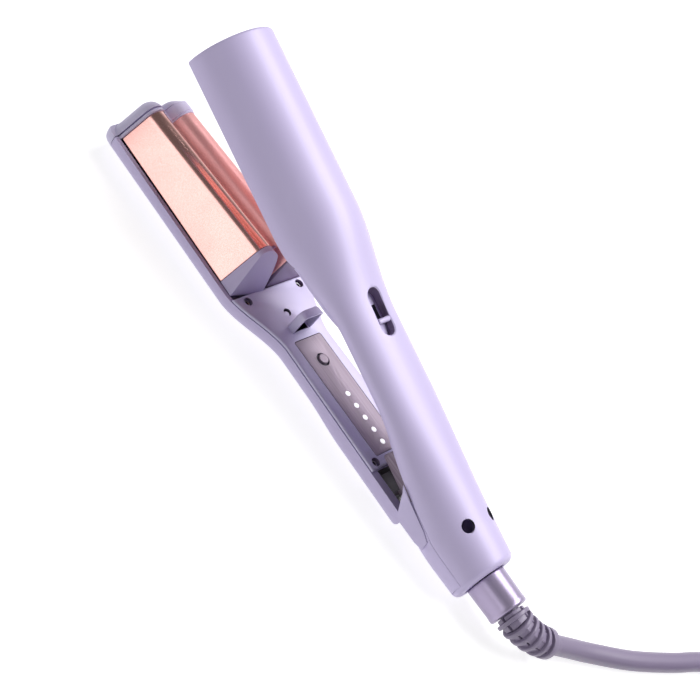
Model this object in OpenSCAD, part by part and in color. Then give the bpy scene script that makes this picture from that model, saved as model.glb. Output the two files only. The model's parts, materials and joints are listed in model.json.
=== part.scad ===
// Wave-type curling iron: two arms on a hinge, each with half of a pair of mating two-ridge plates.
// The hinge axis runs along Y. The control arm lies on its back and the main arm stands open above it.
// Both arms are drawn closed about the hinge; main_frame then opens the main arm by open_angle.

/* [Arms] */
// Length of the control arm from the hinge axis to its tip
arm_len = 208; // [200:1:216]
// Height of the hinge axis above the back of the control arm
hinge_z = 9; // [8.8:0.1:9.4]
// Angle between the arms when the iron is at rest
open_angle = 13.5; // [12.5:0.5:14]
// Wall of both housings
wall = 2; // [1.6:0.1:2.4]
// Gap that a seated piece keeps from its seat
seat = 0.3; // [0.2:0.05:0.4]

/* [Control arm] */
// Half width of the head at the tip
head_tip_half = 22.8; // [22.4:0.1:24]
// Half width of the head where the neck starts
head_root_half = 25; // [24.4:0.1:26]
// Least half width of the neck
neck_half = 14.4; // [13.6:0.1:15.6]
// Half width at the hinge
tail_half = 16.5; // [16.2:0.1:17.2]
// Height of the rim of the outer shell
rim_z = 13; // [12.6:0.1:13.4]
// Height that the inner cover stands above the rim
cover_rise = 1.5; // [1.3:0.1:1.8]
// Rise of the back along the neck
back_rise = 2; // [1:0.1:2.4]

/* [Wave plates] */
// Distance between the two crests
ridge_pitch = 15.5; // [15:0.1:16]
// Radius of each crest
crest_r = 5.8; // [5.6:0.1:6]
// Radius of the valley between the crests
valley_r = 2; // [1.95:0.05:2.2]
// Height of the crests at the tip end of the plate
crest_top = 29.3; // [28.6:0.1:29.6]
// Rise of the crests towards the hinge, in degrees
crest_rise = 3; // [2.4:0.1:3.1]
// Length of the plates
plate_len = 79; // [70:1:80]
// Thickness of each plate
plate_t = 1.2; // [1:0.05:1.2]
// Gap between the closed plates
plate_gap = 0.7; // [0.6:0.05:0.7]

/* [Main arm] */
// Outer radius of the barrel
barrel_r = 21.2; // [21:0.1:21.6]
// Height of the barrel's axis when closed
barrel_z = 26.4; // [26.2:0.1:26.8]
// Half width of the handle
handle_half = 15.8; // [15.2:0.1:16.4]
// Height of the handle's widest line when closed
handle_z = 30.9; // [30.5:0.1:31.3]
// Height of the handle above its widest line
handle_up = 8.8; // [8.4:0.1:9.4]
// Depth of the handle below its widest line
handle_low = 9.2; // [8.8:0.1:9.4]
// Radius of the base where it is fullest
base_r = 17.2; // [17:0.1:17.3]
// Radius of the base at its end face
end_r = 15; // [14.6:0.1:15.1]
// Diameter of the two round openings in the base
base_hole_d = 6; // [5:0.5:7]

/* [Lock] */
// Length of the slot for the lock knob
slot_len = 20.7; // [18:0.1:22]
// Width of the slot
slot_w = 6; // [5:0.2:6.4]
// Travel of the lock
lock_travel = 3; // [2:0.5:3.5]
// Width of the hook
hook_w = 7; // [6:0.5:8]

/* [Controls] */
// Length of the brushed strip
strip_len = 61; // [58:0.5:62]
// Width of the brushed strip
strip_w = 17.6; // [17:0.1:18]
// Radius of the power button
button_r = 2.7; // [2.4:0.1:3]
// Travel of the power button
button_travel = 0.8; // [0.6:0.1:0.8]
// Number of light lenses
lens_count = 5; // [5:1:5]
// Radius of a light lens
lens_r = 1.1; // [0.9:0.1:1.3]

/* [Cord end] */
// Length of the swivel collar
collar_len = 16.9; // [15:0.1:18]
// Radius of the swivel collar
collar_r = 9.2; // [9:0.1:9.6]
// Number of rings on the strain relief
relief_rings = 6; // [6:1:6]
// Diameter of the cord
cord_d = 9; // [8.4:0.1:9]

/* [Hidden] */
$fn = 48;

lavender = [0.78, 0.73, 0.87];
mauve = [0.6, 0.5, 0.58];
copper = [0.86, 0.55, 0.5];
steel = [0.7, 0.7, 0.72];
dark = [0.16, 0.15, 0.18];
ceramic = [0.92, 0.91, 0.88];
soft_grey = [0.6, 0.55, 0.66];
board_green = [0.1, 0.35, 0.25];

// Stations along the arms, measured from the hinge axis
tip_x = -arm_len;
cap_len = 5.7;
lip_x = tip_x + 6;
plate_x = tip_x + 8;
plate_end = plate_x + plate_len;
ramp_x = plate_end + 3;
ramp_end = plate_end + 11.5;
neck_x0 = plate_end + 5;
neck_x1 = plate_end + 41;
tail_x0 = -60;
tail_x1 = -36;
tail_x = -17;
cover_x0 = ramp_end + seat;
cover_x1 = -16.2;
face_z = rim_z + cover_rise;
round_n = 2.45;
back_sink = 0.35;
curve_n = 28;

// Barrel, neck, handle and base of the main arm, in the closed position
barrel_x = tip_x + 3;
neck_a = plate_end - 1.8;
neck_b = plate_end + 47.5;
flare_a = -42.7;
flare_b = 29.8;
base_x = 20;
base_z = 22.6;
end_x = 43.2;
end_z = 26;
edge_z = 22;
seam_z = 23;
floor_z = 21.7;
block_half = 11.5;
block_x = -21.3;
block_z = face_z + 0.8;
cheek_in = 12.2;
tail_r = 7;
knuckle_r = 5.2;
knuckle_half = 6;
pin_r = 2;
fit = 0.05;

// Lock
slot_x = -75.5;
knob_x = -71.7;
hood_x0 = -97.8;
hood_x1 = -88.8;
hood_half = 10;
hood_z = 5;
hood_t = 1.3;
// The hook's nose is as long as its travel, so its shank stops short of the hood's roof
hook_nose = lock_travel + 0.1;
hook_t = 2.2;
hook_x = hood_x1 + 0.5;
hook_end = hook_x + hook_nose + hook_t;
hook_low = 10;
hook_roof = face_z + hood_z - hood_t - 0.5;
main_screw_x = [hook_end + 7, -50];

// Controls
strip_x = -82.5;
strip_depth = 0.9;
button_x = -70.5;
lens_x = -51.9;
lens_step = 6.4;
board_z = 8.3;
board_t = 1;
board_x = -80;
board_len = 56;
board_w = 20;
post_r = 2;
power_x = -60;
power_len = 50;
power_w = 18;
power_z = 27;
power_t = 1.4;

// Swivel, in the open position: the axis runs along X at the height of the base's end
end_rest = rest_point(end_x, end_z);
swivel_x = end_rest[0];
swivel_z = end_rest[1];
journal_r = 6;
collar_x = swivel_x + 0.6;
collar_end = collar_x + collar_len;
shift_x = -(tip_x + collar_end) / 2;

// Cord: points chosen by hand, measured from the hinge axis, on the table past the strain relief
cord_r = cord_d / 2;
relief_route = [[64.1, 0, 15.4], [67.4, 0, 15.3], [70.6, 1.2, 14.7], [76.4, 5.4, 12.8], [81.2, 12, 10.4], [84.6, 19, 8.4]];
lead_route = [[84.8, 19.4, 8.3], [90, 29, 6.2], [96, 38.6, 5], [109, 58.5, 4.7], [120.5, 81, 4.7],
    [127.5, 97, 4.8], [137.9, 114.1, 4.9], [153.3, 128.3, 4.9], [172, 137.7, 5], [192.6, 141.4, 5.1],
    [213.4, 139.3, 5.2], [231.9, 131.9, 5.2], [245.7, 122, 5.3], [255, 111.6, 5.4], [260.7, 102.7, 5.4]];
coil_centre = [208, 74, 5.4];
coil_angle = 28.1;
coil_r = 60;
coil_pitch = 9.7;
layer_step = 9.8;
turns_in = 2.25;
turns_out = 2.23;
turns_climb = 0.5;
turns_tail = 1 / 3;
tail_out = 11;
plug_z = 6.2;
loop_rings = 24;
coil_inner = coil_r - turns_in * coil_pitch;

function smooth(a, b, x) = let (t = min(1, max(0, (x - a) / (b - a)))) t * t * (3 - 2 * t);
function lerp(a, b, t) = a + (b - a) * t;
function steps(a, b, n) = [for (i = [0:n]) a + (b - a) * i / n];
function rest_point(x, z) = [x * cos(open_angle) + (z - hinge_z) * sin(open_angle),
    hinge_z - x * sin(open_angle) + (z - hinge_z) * cos(open_angle)];

module rest_frame() translate([shift_x, 0, 0]) children();
module main_frame() rest_frame() translate([0, 0, hinge_z]) rotate([0, open_angle, 0])
    translate([0, 0, -hinge_z]) children();
module swivel_frame() rest_frame() translate([0, 0, swivel_z]) rotate([0, 90, 0]) children();
// Turns a drawing in Y and Z into a solid that runs along X
module along_x(x0, x1) translate([x0, 0, 0]) rotate([90, 0, 90]) linear_extrude(x1 - x0) children();

// Solid through a list of rings that all have an even or odd, but equal, number of points.
// Its ends are closed in strips, so a ring may be a band: out along one curve and back along another.
function sense(a, b) = let (n = len(a), fans = [for (j = [1:n - 2]) cross(a[j] - a[0], a[j + 1] - a[0])])
    ([for (f = fans) 1] * fans) * (b[0] - a[0]);
function flipped(faces) = [for (f = faces) [f[2], f[1], f[0]]];
module loft(rings) {
    n = len(rings[0]);
    last = (len(rings) - 1) * n;
    sides = [for (i = [0:len(rings) - 2], j = [0:n - 1]) let (k = (j + 1) % n)
        each [[i * n + j, i * n + k, (i + 1) * n + k], [i * n + j, (i + 1) * n + k, (i + 1) * n + j]]];
    cap = [for (i = [0:floor((n - 3) / 2)]) each (i + 1 == n - 2 - i ? [[i, i + 1, i + 2]]
        : [[i, i + 1, n - 2 - i], [i, n - 2 - i, n - 1 - i]])];
    faces = concat(sides, flipped(cap), [for (f = cap) f + [last, last, last]]);
    polyhedron([for (r = rings) each r], sense(rings[0], rings[1]) < 0 ? faces : flipped(faces));
}

// Control arm: half width, height of its back, and the curve of its section
function head_half(x) = lerp(head_tip_half, head_root_half, (x - tip_x) / (neck_x0 - tip_x));
function shaft_half(x) = lerp(neck_half, tail_half, max(0, (x - neck_x1) / -neck_x1));
function control_half(x) = lerp(head_half(x), shaft_half(x), smooth(neck_x0, neck_x1, x));
function back_z(x) = back_rise * smooth(neck_x0, neck_x1, x) * (1 - smooth(tail_x0, tail_x1, x)) - back_sink;
function control_curve(x, inset, n = curve_n) = let (w = control_half(x) - inset, d = rim_z - back_z(x) - inset)
    [for (i = [0:n]) let (t = 180 * i / n, c = cos(t))
        [x, w * sign(c) * pow(abs(c), 2 / round_n), rim_z - d * pow(max(0, sin(t)), 2 / round_n)]];
function turned(list) = [for (i = [len(list) - 1:-1:0]) list[i]];
control_stations = concat([lip_x, neck_x0], steps(neck_x0 + 4, neck_x1, 8), steps(tail_x0, tail_x1, 4), [tail_x]);
function control_outline(x0, x1, inset) = let (xs = steps(x0, x1, 24))
    concat([for (x = xs) [x, inset - control_half(x)]], [for (x = turned(xs)) [x, control_half(x) - inset]]);

// Wave profile in Y and Z about the crest centres; d is the distance outwards from the lower plate's face
function valley_rise() = (crest_r + valley_r) * cos(60) - (ridge_pitch / 2 - (crest_r + valley_r) * sin(60)) * tan(60);
function wave_top(d, low) = let (r = crest_r + d, v = valley_r - d, s = ridge_pitch / 2, run = (low + r * sin(30)) / tan(60))
    concat([[s + r * cos(30) + run, -low]],
        [for (a = [30:10:150]) [s + r * cos(a), r * sin(a)]],
        v > 0.05 ? [for (a = [150:-20:30]) [-v * cos(a), valley_rise() - v * sin(a)]] : [[0, valley_rise() - 2 * v]],
        [for (a = [30:10:150]) [-s + r * cos(a), r * sin(a)]],
        [[-s - r * cos(30) - run, -low]]);
function crest_z(x) = crest_top - crest_r + (x - plate_x) * tan(crest_rise);
// The profile run along X, rising with the crests; it stands on low below the crest centres
module wave_run(x0, x1, d, low = 40) intersection() {
    translate([plate_x, 0, crest_z(plate_x)]) rotate([0, -crest_rise, 0])
        along_x(x0 - plate_x - 8, x1 - plate_x + 8) polygon(wave_top(d, low));
    translate([x0, -60, -20]) cube([x1 - x0, 120, 120]);
}
module above(z, x0 = -260, x1 = 120) translate([x0, -60, z]) cube([x1 - x0, 120, 80]);
module below(z, x0 = -260, x1 = 120) translate([x0, -60, z - 80]) cube([x1 - x0, 120, 80]);
module disc_y(r, half) rotate([90, 0, 0]) cylinder(r = r, h = 2 * half, center = true);
module at_hinge() translate([0, 0, hinge_z]) children();

// Main arm: the sizes of its section at a station, closed
function in_base(x) = max(0, (x - base_x) / (end_x - base_x));
function to_handle(x) = smooth(neck_a, neck_b, x);
function to_base(x) = smooth(flare_a, flare_b, x);
function base_size(x) = lerp(base_r, end_r, in_base(x));
function sized(x, barrel, handle, base) = lerp(lerp(barrel, handle, to_handle(x)), base, to_base(x));
function main_half(x) = sized(x, barrel_r, handle_half, base_size(x));
function main_up(x) = sized(x, barrel_r, handle_up, base_size(x));
function main_low(x) = sized(x, barrel_r, handle_low, base_size(x));
function main_z(x) = sized(x, barrel_z, handle_z, lerp(base_z, end_z, in_base(x)));
function seam_h(x) = lerp(lerp(edge_z, seam_z, to_handle(x)) - main_z(x), 0, smooth(5, 25, x));
// A point of the section: angle t around it, set in by inset; the section leans with the base's end
function main_point(x, t, inset) = let (h = (sin(t) > 0 ? main_up(x) : main_low(x)) - inset,
    lean = open_angle * in_base(x), y = (main_half(x) - inset) * cos(t), z = h * sin(t))
    [x - z * sin(lean), y, main_z(x) + z * cos(lean)];
function seam_t(x, inset) = asin(max(-0.9, seam_h(x) / (main_low(x) - inset)));
function upper_arc(x, inset) = let (t0 = seam_t(x, inset))
    [for (i = [0:curve_n]) main_point(x, lerp(t0, 180 - t0, i / curve_n), inset)];
function lower_arc(x, inset, n) = let (t0 = seam_t(x, inset) - 1)
    [for (i = [0:n]) main_point(x, lerp(t0, -180 - t0, i / n), inset)];
main_stations = concat([barrel_x + 1.5], steps(neck_a, neck_b, 8), steps(flare_a, base_x, 8), [25, 30, 36, end_x]);

module hook_room(grow) translate([hook_x - grow - lock_travel, -hook_w / 2 - grow, 0])
    cube([hook_end - hook_x + 2 * grow + lock_travel, hook_w + 2 * grow, 36]);
module slot_cut(z0, z1) for (x = [slot_x - slot_len / 2 + slot_w / 2, slot_x + slot_len / 2 - slot_w / 2])
    translate([x, 0, z0]) cylinder(d = slot_w, h = z1 - z0);

// The tip's outer edge is rounded, so its first rings are set in
tip_edge = 1.5;
function shell_ring(x, edge = 0) = concat(upper_arc(x, edge), turned(upper_arc(x, wall)));
module main_outer_shell() color(lavender) main_frame() difference() {
    union() {
        loft(concat([for (a = [90, 60, 30]) shell_ring(barrel_x + tip_edge * (1 - sin(a)), tip_edge * (1 - cos(a)))],
            [for (x = main_stations) shell_ring(x)]));
        intersection() {
            translate([barrel_x, 0, barrel_z]) rotate([0, 90, 0]) cylinder(r = barrel_r - wall + 0.2, h = wall);
            above(edge_z);
        }
    }
    wave_run(barrel_x - 1, barrel_x + wall + 1, 2.6);
    slot_cut(30, 45);
    translate([slot_x - (slot_len - slot_w) / 2, -slot_w / 2, 30]) cube([slot_len - slot_w, slot_w, 15]);
    for (side = [-1, 1]) base_hole(side);
}
module base_hole(side) translate([base_x, 0, main_z(base_x)]) rotate([-side * 28.7, 0, 0]) {
    translate([0, 0, 8]) cylinder(d = base_hole_d, h = 16);
    translate([0, 0, base_r - 0.6]) cylinder(d1 = base_hole_d, d2 = base_hole_d + 2.4, h = 1.2);
}

// Inner cover of the handle: a shallow bowl under the seam, with a window for the hook
function bowl_half(x) = main_point(x, seam_t(x, 0), 0)[1] - 0.3;
function bowl_low(x) = min(floor_z, main_z(x) - main_low(x));
function bowl_ring(x) = let (top = main_z(x) + seam_h(x) - seat, d = max(0.8, top - bowl_low(x)))
    [for (i = [0:16]) let (t = 180 * i / 16, c = cos(t))
        [x, bowl_half(x) * sign(c) * pow(abs(c), 0.7), top - d * pow(max(0, sin(t)), 0.7)]];
module main_inner_cover() color(lavender) main_frame() difference() {
    loft([for (x = concat(steps(cover_x0 + 4, neck_b, 6), steps(flare_a, block_x - seat, 3))) bowl_ring(x)]);
    below(floor_z - 0.4, -260, flare_a);
    hook_room(0.7);
    for (x = main_screw_x) translate([x, 0, floor_z - 2]) cylinder(r = 1.6, h = 8);
}

// Block between the handle and the control arm's tail; its knuckle turns on the pin
module hinge_block() color(mauve) main_frame() difference() {
    union() {
        difference() {
            translate([block_x, -block_half, block_z]) cube([6 - block_x, 2 * block_half, seam_z - 0.4 - block_z]);
            at_hinge() disc_y(tail_r + 0.8, 20);
        }
        translate([-knuckle_r, -knuckle_half, hinge_z]) cube([2 * knuckle_r, 2 * knuckle_half, seam_z - 2 - hinge_z]);
        at_hinge() disc_y(knuckle_r, knuckle_half);
    }
    at_hinge() disc_y(pin_r + 0.02, 30);
}

module base_cover() color(lavender) main_frame() difference() {
    loft([for (x = concat([1, 7, 13, base_x], [26, 32, 38, end_x]))
        concat(lower_arc(x, 0, 20), turned(lower_arc(x, wall, 20)))]);
    at_hinge() disc_y(tail_r + 1, 40);
    translate([-3, -block_half - seat, 0]) cube([9 + seat, 2 * block_half + 2 * seat, 40]);
    for (side = [-1, 1]) translate([25, side * 7, 0]) cylinder(r = 1.6, h = 12);
}

// End wall of the base, with the bearing for the swivel
module base_ring() color(lavender) swivel_frame() difference() {
    union() {
        translate([0, 0, swivel_x - 2.6]) cylinder(r = end_r - wall - seat, h = 2.6);
        translate([0, 0, swivel_x]) cylinder(r1 = end_r, r2 = end_r - 0.6, h = 0.3);
    }
    translate([0, 0, swivel_x - 5]) cylinder(r = journal_r + fit, h = 10);
}

module upper_wave_plate() color(copper) main_frame() intersection() {
    difference() {
        wave_run(plate_x + 0.5, plate_end, plate_gap + plate_t);
        wave_run(plate_x - 5, plate_end + 5, plate_gap);
    }
    above(edge_z + 0.4);
    translate([plate_x - 5, 0, barrel_z]) rotate([0, 90, 0]) cylinder(r = barrel_r - wall - seat, h = 90, $fn = 96);
}
// Thin boxes that follow the rise of the crests; z is measured from the crest centres
module sloped(x0, x1, half, z0, z1) translate([plate_x, 0, crest_z(plate_x)]) rotate([0, -crest_rise, 0])
    translate([x0 - plate_x, -half, z0]) cube([x1 - x0, 2 * half, z1 - z0]);
upper_back = plate_gap + plate_t + seat;
spreader_top = crest_r + upper_back + 1.2;
module upper_heat_spreader() color(steel) main_frame() difference() {
    sloped(plate_x + 3, plate_end - 3, 12.6, 1.5, spreader_top);
    wave_run(plate_x - 5, plate_end + 5, upper_back);
}
module upper_heater() color(ceramic) main_frame()
    sloped(plate_x + 8, plate_end - 8, 8, spreader_top + 0.1, spreader_top + 1.7);
module upper_plate_carrier() color(dark) main_frame() difference() {
    union() {
        for (x = [plate_x + 5, plate_x + plate_len / 2 - 1.5, plate_end - 8]) carrier_rib(x);
        sloped(plate_x + 5, plate_end - 5, 2, spreader_top + 2, spreader_top + 3.2);
    }
    sloped(plate_x - 5, plate_end + 5, 12.8, -20, spreader_top + seat);
    sloped(plate_x - 5, plate_end + 5, 8.2, -20, spreader_top + 1.7 + seat);
    wave_run(plate_x - 5, plate_end + 5, upper_back);
}
module carrier_rib(x) intersection() {
    translate([x, 0, barrel_z]) rotate([0, 90, 0]) cylinder(r = barrel_r - wall - seat, h = 3, $fn = 96);
    above(edge_z + 0.4);
}
module root_bulkhead() color(lavender) main_frame() difference() {
    intersection() {
        translate([plate_end + 1, 0, barrel_z]) rotate([0, 90, 0])
            cylinder(r = barrel_r - wall - seat, h = 2, $fn = 96);
        above(edge_z);
    }
    wave_run(plate_end - 5, plate_end + 10, 1);
}

// Slider under the handle's top, with its knob in the slot and the hook below
module lock_slider() color(lavender) main_frame() difference() {
    union() {
        translate([hook_x, -hook_w / 2, 33.4]) cube([knob_x + 9 - hook_x, hook_w, 1.8]);
        for (side = [-1, 1]) translate([knob_x - 1, side * 1.6 - 0.5, 35]) cube([2, 1, 3.6]);
        translate([knob_x, 0, 38.6]) rotate([90, 0, 0]) cylinder(r = 1.2, h = slot_w - 0.8, center = true);
        hook();
    }
    translate([knob_x + 2.8, -1.4, 33]) cube([lock_travel + 2.4, 2.8, 3]);
}
module hook() rotate([90, 0, 0]) linear_extrude(hook_w, center = true)
    polygon([[hook_end, 34], [hook_end - hook_t, 34], [hook_end - hook_t, hook_roof], [hook_x, hook_roof - 0.8],
        [hook_x + 0.4, 13.2], [hook_x + 2.6, hook_low], [hook_end - 0.8, hook_low], [hook_end, 12]]);
module detent_spring() color(steel) main_frame() rotate([90, 0, 0]) linear_extrude(2.2, center = true)
    polygon([[knob_x - 1, 33.1], [knob_x + 3.2, 33.1], [knob_x + 4, 33.7], [knob_x + 4.8, 33.1], [knob_x + 9, 33.1],
        [knob_x + 9, 32.7], [knob_x + 4.6, 32.7], [knob_x + 4, 33.2], [knob_x + 3.4, 32.7], [knob_x - 1, 32.7]]);

module hinge_pin() color(steel) rest_frame() at_hinge() disc_y(pin_r, 14.6);
// Torsion springs on the pin, one on each side of the knuckle
spring_wire = 0.45;
spring_turns = 3.5;
function spring_route(side) = [for (i = [0:spring_turns * 12]) let (a = side * i * 30 + 90)
    [3.4 * cos(a), side * (knuckle_half + 1 + i * 4.2 / (spring_turns * 12)), hinge_z + 3.4 * sin(a)]];
module hinge_springs() color(steel) rest_frame() for (side = [-1, 1]) tube(spring_route(side), spring_wire, 6, [0, 1, 0]);

module power_board() color(board_green) main_frame() translate([power_x, 0, power_z]) {
    translate([0, -power_w / 2, 0]) cube([power_len, power_w, power_t]);
    translate([power_len * 0.12, -power_w / 4, power_t]) cube([power_len / 5, power_w / 2, 4]);
    translate([power_len / 2, 0, power_t]) cylinder(r = power_w / 4, h = 6);
    for (x = [post_r + 1, power_len - post_r - 1]) translate([x, 0, -4]) cylinder(r = post_r, h = 4);
}
module slip_contacts() color(copper) rest_frame() for (i = [0, 1])
    translate([swivel_x - 12 + 4 * i, -2, swivel_z + journal_r + 0.5]) cube([1.6, 4, 3]);
module main_screws() color(steel) main_frame() {
    for (x = main_screw_x) screw([x, 0, floor_z - 0.2], 1.5, 3);
    for (side = [-1, 1]) screw([25, side * 7, 8.4], 1.5, 3);
}
module screw(p, r, h, head = 1) translate(p) {
    cylinder(r = r, h = head);
    cylinder(r = r * 0.6, h = h);
}

module control_outer_shell() color(lavender) rest_frame() difference() {
    union() {
        loft([for (x = control_stations) concat(control_curve(x, 0), turned(control_curve(x, wall)))]);
        intersection() {
            loft([for (x = [tail_x, -8, 0, 8]) control_curve(x, 0)]);
            rotate([90, 0, 0]) linear_extrude(80, center = true) tail_side();
        }
        for (x = [board_x + 4, board_x + board_len - 4], side = [-1, 1]) translate([x, side * (board_w / 2 - 3), 1])
            cylinder(r = post_r, h = board_z - seat - 1);
    }
    below(0);
    translate([tail_x + 1, -cheek_in, hinge_z]) cube([40, 2 * cheek_in, 20]);
    translate([tail_x + 1, -cheek_in, wall]) cube([-tail_x - 1, 2 * cheek_in, 20]);
    at_hinge() disc_y(knuckle_r + 0.4, cheek_in);
    at_hinge() disc_y(pin_r + fit, 30);
}
// Side view of the tail: it is rounded about the hinge
module tail_side() hull() {
    translate([0, hinge_z]) circle(r = tail_r);
    translate([tail_x, -1]) square([4, rim_z + 1]);
}

module control_inner_cover() color(lavender) rest_frame() difference() {
    union() {
        translate([0, 0, rim_z + seat]) linear_extrude(cover_rise - seat) polygon(control_outline(cover_x0, cover_x1, 0.3));
        translate([0, 0, rim_z - 0.7]) linear_extrude(1.2)
            polygon(control_outline(cover_x0, tail_x - seat, wall + seat + 0.6));
    }
    translate([0, 0, face_z - strip_depth]) linear_extrude(2) strip_shape(0);
    translate([button_x, 0, 0]) cylinder(r = button_r + 0.3, h = 30);
    for (i = [0:lens_count - 1]) translate([lens_x + i * lens_step, 0, 0]) cylinder(r = lens_r + 0.1, h = 30);
    for (p = cover_screw_places) {
        translate([p[0], p[1], rim_z - 5]) cylinder(r = 1.2, h = 20);
        translate([p[0], p[1], face_z - 1.1]) cylinder(r = 2, h = 3);
    }
    translate([plate_end + 25, 0.8, 0]) cylinder(r = 1.8, h = 30);
    translate([hood_x0 + 1.5, -hood_half + 2, 0]) cube([strip_x + 0.2 - hood_x0 - 1.5, 2 * hood_half - 4, 30]);
}
cover_screw_places = [[plate_end + 13.6, -17], [plate_end + 13.6, 17], [cover_x1 - 3.3, -11.2], [cover_x1 - 3.3, 11.2]];
module strip_shape(inset) translate([strip_x + 4, 0]) {
    r = 4 - inset;
    for (x = [0, strip_len - 8], y = [4 - strip_w / 2, strip_w / 2 - 4]) translate([x, y]) circle(r = r);
    translate([0, inset - strip_w / 2]) square([strip_len - 8, strip_w - 2 * inset]);
    translate([inset - 4, 4 - strip_w / 2]) square([strip_len - 2 * inset, strip_w - 8]);
}

// Tip cap: its front edge is rounded over the whole outline
cap_edge = 3;
function cap_ring(x, inset) = let (top = wave_top(1.4 - inset, crest_z(x) - rim_z),
    base = control_curve(x, inset, len(top) - 1))
    concat(base, [for (p = turned(top)) [x, p[0], crest_z(x) + p[1]]]);
module tip_cap() color(lavender) rest_frame() difference() {
    cap_body();
    below(0);
}
module cap_body() loft(concat([for (a = [90, 65, 45, 20, 0])
    cap_ring(tip_x + cap_edge * (1 - sin(a)), cap_edge * (1 - cos(a)))], [cap_ring(tip_x + cap_len, 0)]));

module lower_wave_plate() color(copper) rest_frame() intersection() {
    difference() {
        wave_run(plate_x, plate_end, 0);
        wave_run(plate_x - 5, plate_end + 5, -plate_t);
    }
    above(rim_z);
}
// Plastic blocks that hold the ends of the lower plate: a lip at the tip and a sloped ramp at the root
module ridge_end_blocks() color(lavender) rest_frame() {
    intersection() {
        wave_run(lip_x + 0.2, plate_x - 0.2, 0.6);
        above(rim_z);
    }
    intersection() {
        wave_run(plate_end + 0.2, ramp_end + 3, 0);
        above(rim_z + seat);
        rotate([90, 0, 0]) linear_extrude(80, center = true)
            polygon([[plate_end, 0], [plate_end, 50], [ramp_x, 36], [ramp_end, face_z], [ramp_end + 1, 0]]);
    }
}
module lower_heat_bars() color(steel) rest_frame() for (side = [-1, 1]) difference() {
    translate([plate_x, side * ridge_pitch / 2, crest_z(plate_x)]) rotate([0, 90 - crest_rise, 0])
        translate([0, 0, 3]) cylinder(r = crest_r - plate_t - seat, h = plate_len - 6);
    sloped(plate_x - 5, plate_end + 5, 20, -20, 0);
}
module lower_heaters() color(ceramic) rest_frame() for (side = [-1, 1]) translate([0, side * ridge_pitch / 2, 0])
    sloped(plate_x + 8, plate_end - 8, 3.4, -1.8, -0.2);
module lower_plate_carrier() color(dark) rest_frame() difference() {
    union() {
        for (x = [plate_x + 6, plate_x + plate_len / 2, plate_end - 9]) intersection() {
            wave_run(x, x + 3, -plate_t - seat);
            loft([for (s = [x, x + 3]) lifted(control_curve(s, wall + seat), 30)]);
        }
        translate([plate_x + 6, -1.5, 4]) cube([plate_len - 15, 3, 5]);
    }
    for (side = [-1, 1]) translate([0, side * ridge_pitch / 2, 0])
        sloped(plate_x - 5, plate_end + 5, crest_r - plate_t, -2.1, 20);
    translate([plate_x + plate_len / 2 - 8, -ridge_pitch / 2, crest_z(plate_x + plate_len / 2) - 4.4])
        rotate([0, 90, 0]) cylinder(r = 2.2, h = 20);
}
function lifted(curve, up) = concat([curve[0] + [0, 0, up]], curve, [curve[len(curve) - 1] + [0, 0, up]]);
module thermal_fuse() color(steel) rest_frame()
    translate([plate_x + plate_len / 2 - 5, -ridge_pitch / 2, crest_z(plate_x + plate_len / 2) - 4.2])
        rotate([0, 90, 0]) cylinder(r = 1.8, h = 12);

// Hood of the catch: open towards the hinge, sloped towards the tip
module catch_socket() color(lavender) rest_frame() difference() {
    rotate([90, 0, 0]) linear_extrude(2 * hood_half, center = true) polygon([[hood_x0 - 2, face_z + 0.1],
        [hood_x0 + 1.5, face_z + hood_z - 0.8], [hood_x0 + 3.5, face_z + hood_z],
        [hood_x1, face_z + hood_z], [hood_x1, face_z + 0.1]]);
    translate([hood_x0 + 1.6, 2 - hood_half, 0]) cube([20, 2 * hood_half - 4, face_z + hood_z - hood_t]);
}

module control_strip() color(mauve) rest_frame() difference() {
    translate([0, 0, face_z - strip_depth + seat]) linear_extrude(strip_depth - seat) strip_shape(0.35);
    translate([button_x, 0, 0]) cylinder(r = button_r + 0.3, h = 30);
    for (i = [0:lens_count - 1]) translate([lens_x + i * lens_step, 0, 0]) cylinder(r = lens_r + 0.1, h = 30);
}
flange_top = rim_z - 1.1;
module power_button() color(mauve) rest_frame() translate([button_x, 0, 0]) {
    translate([0, 0, flange_top - 0.6]) cylinder(r = button_r + 1, h = 0.6);
    translate([0, 0, flange_top - 0.6]) cylinder(r = button_r, h = face_z + 0.4 - flange_top + 0.6);
}
module button_switch() color(dark) rest_frame() translate([button_x - 3, -3, board_z + board_t])
    cube([6, 6, flange_top - 0.6 - button_travel - 0.2 - board_z - board_t]);
module led_lenses() color([0.95, 0.95, 0.98]) rest_frame() for (i = [0:lens_count - 1])
    translate([lens_x + i * lens_step, 0, board_z + board_t + 0.1]) cylinder(r = lens_r, h = face_z - board_z - board_t);
module control_board() color(board_green) rest_frame() difference() {
    translate([board_x, -board_w / 2, board_z]) cube([board_len, board_w, board_t]);
    for (side = [-1, 1]) translate([board_x + board_len / 2, side * (board_w / 2 - 3), 0]) cylinder(r = 1.2, h = 20);
}
module cover_screws() color(steel) rest_frame() for (p = cover_screw_places)
    translate([p[0], p[1], face_z - 0.35]) mirror([0, 0, 1]) screw([0, 0, 0], 1.9, 3.4, 0.7);

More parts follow.
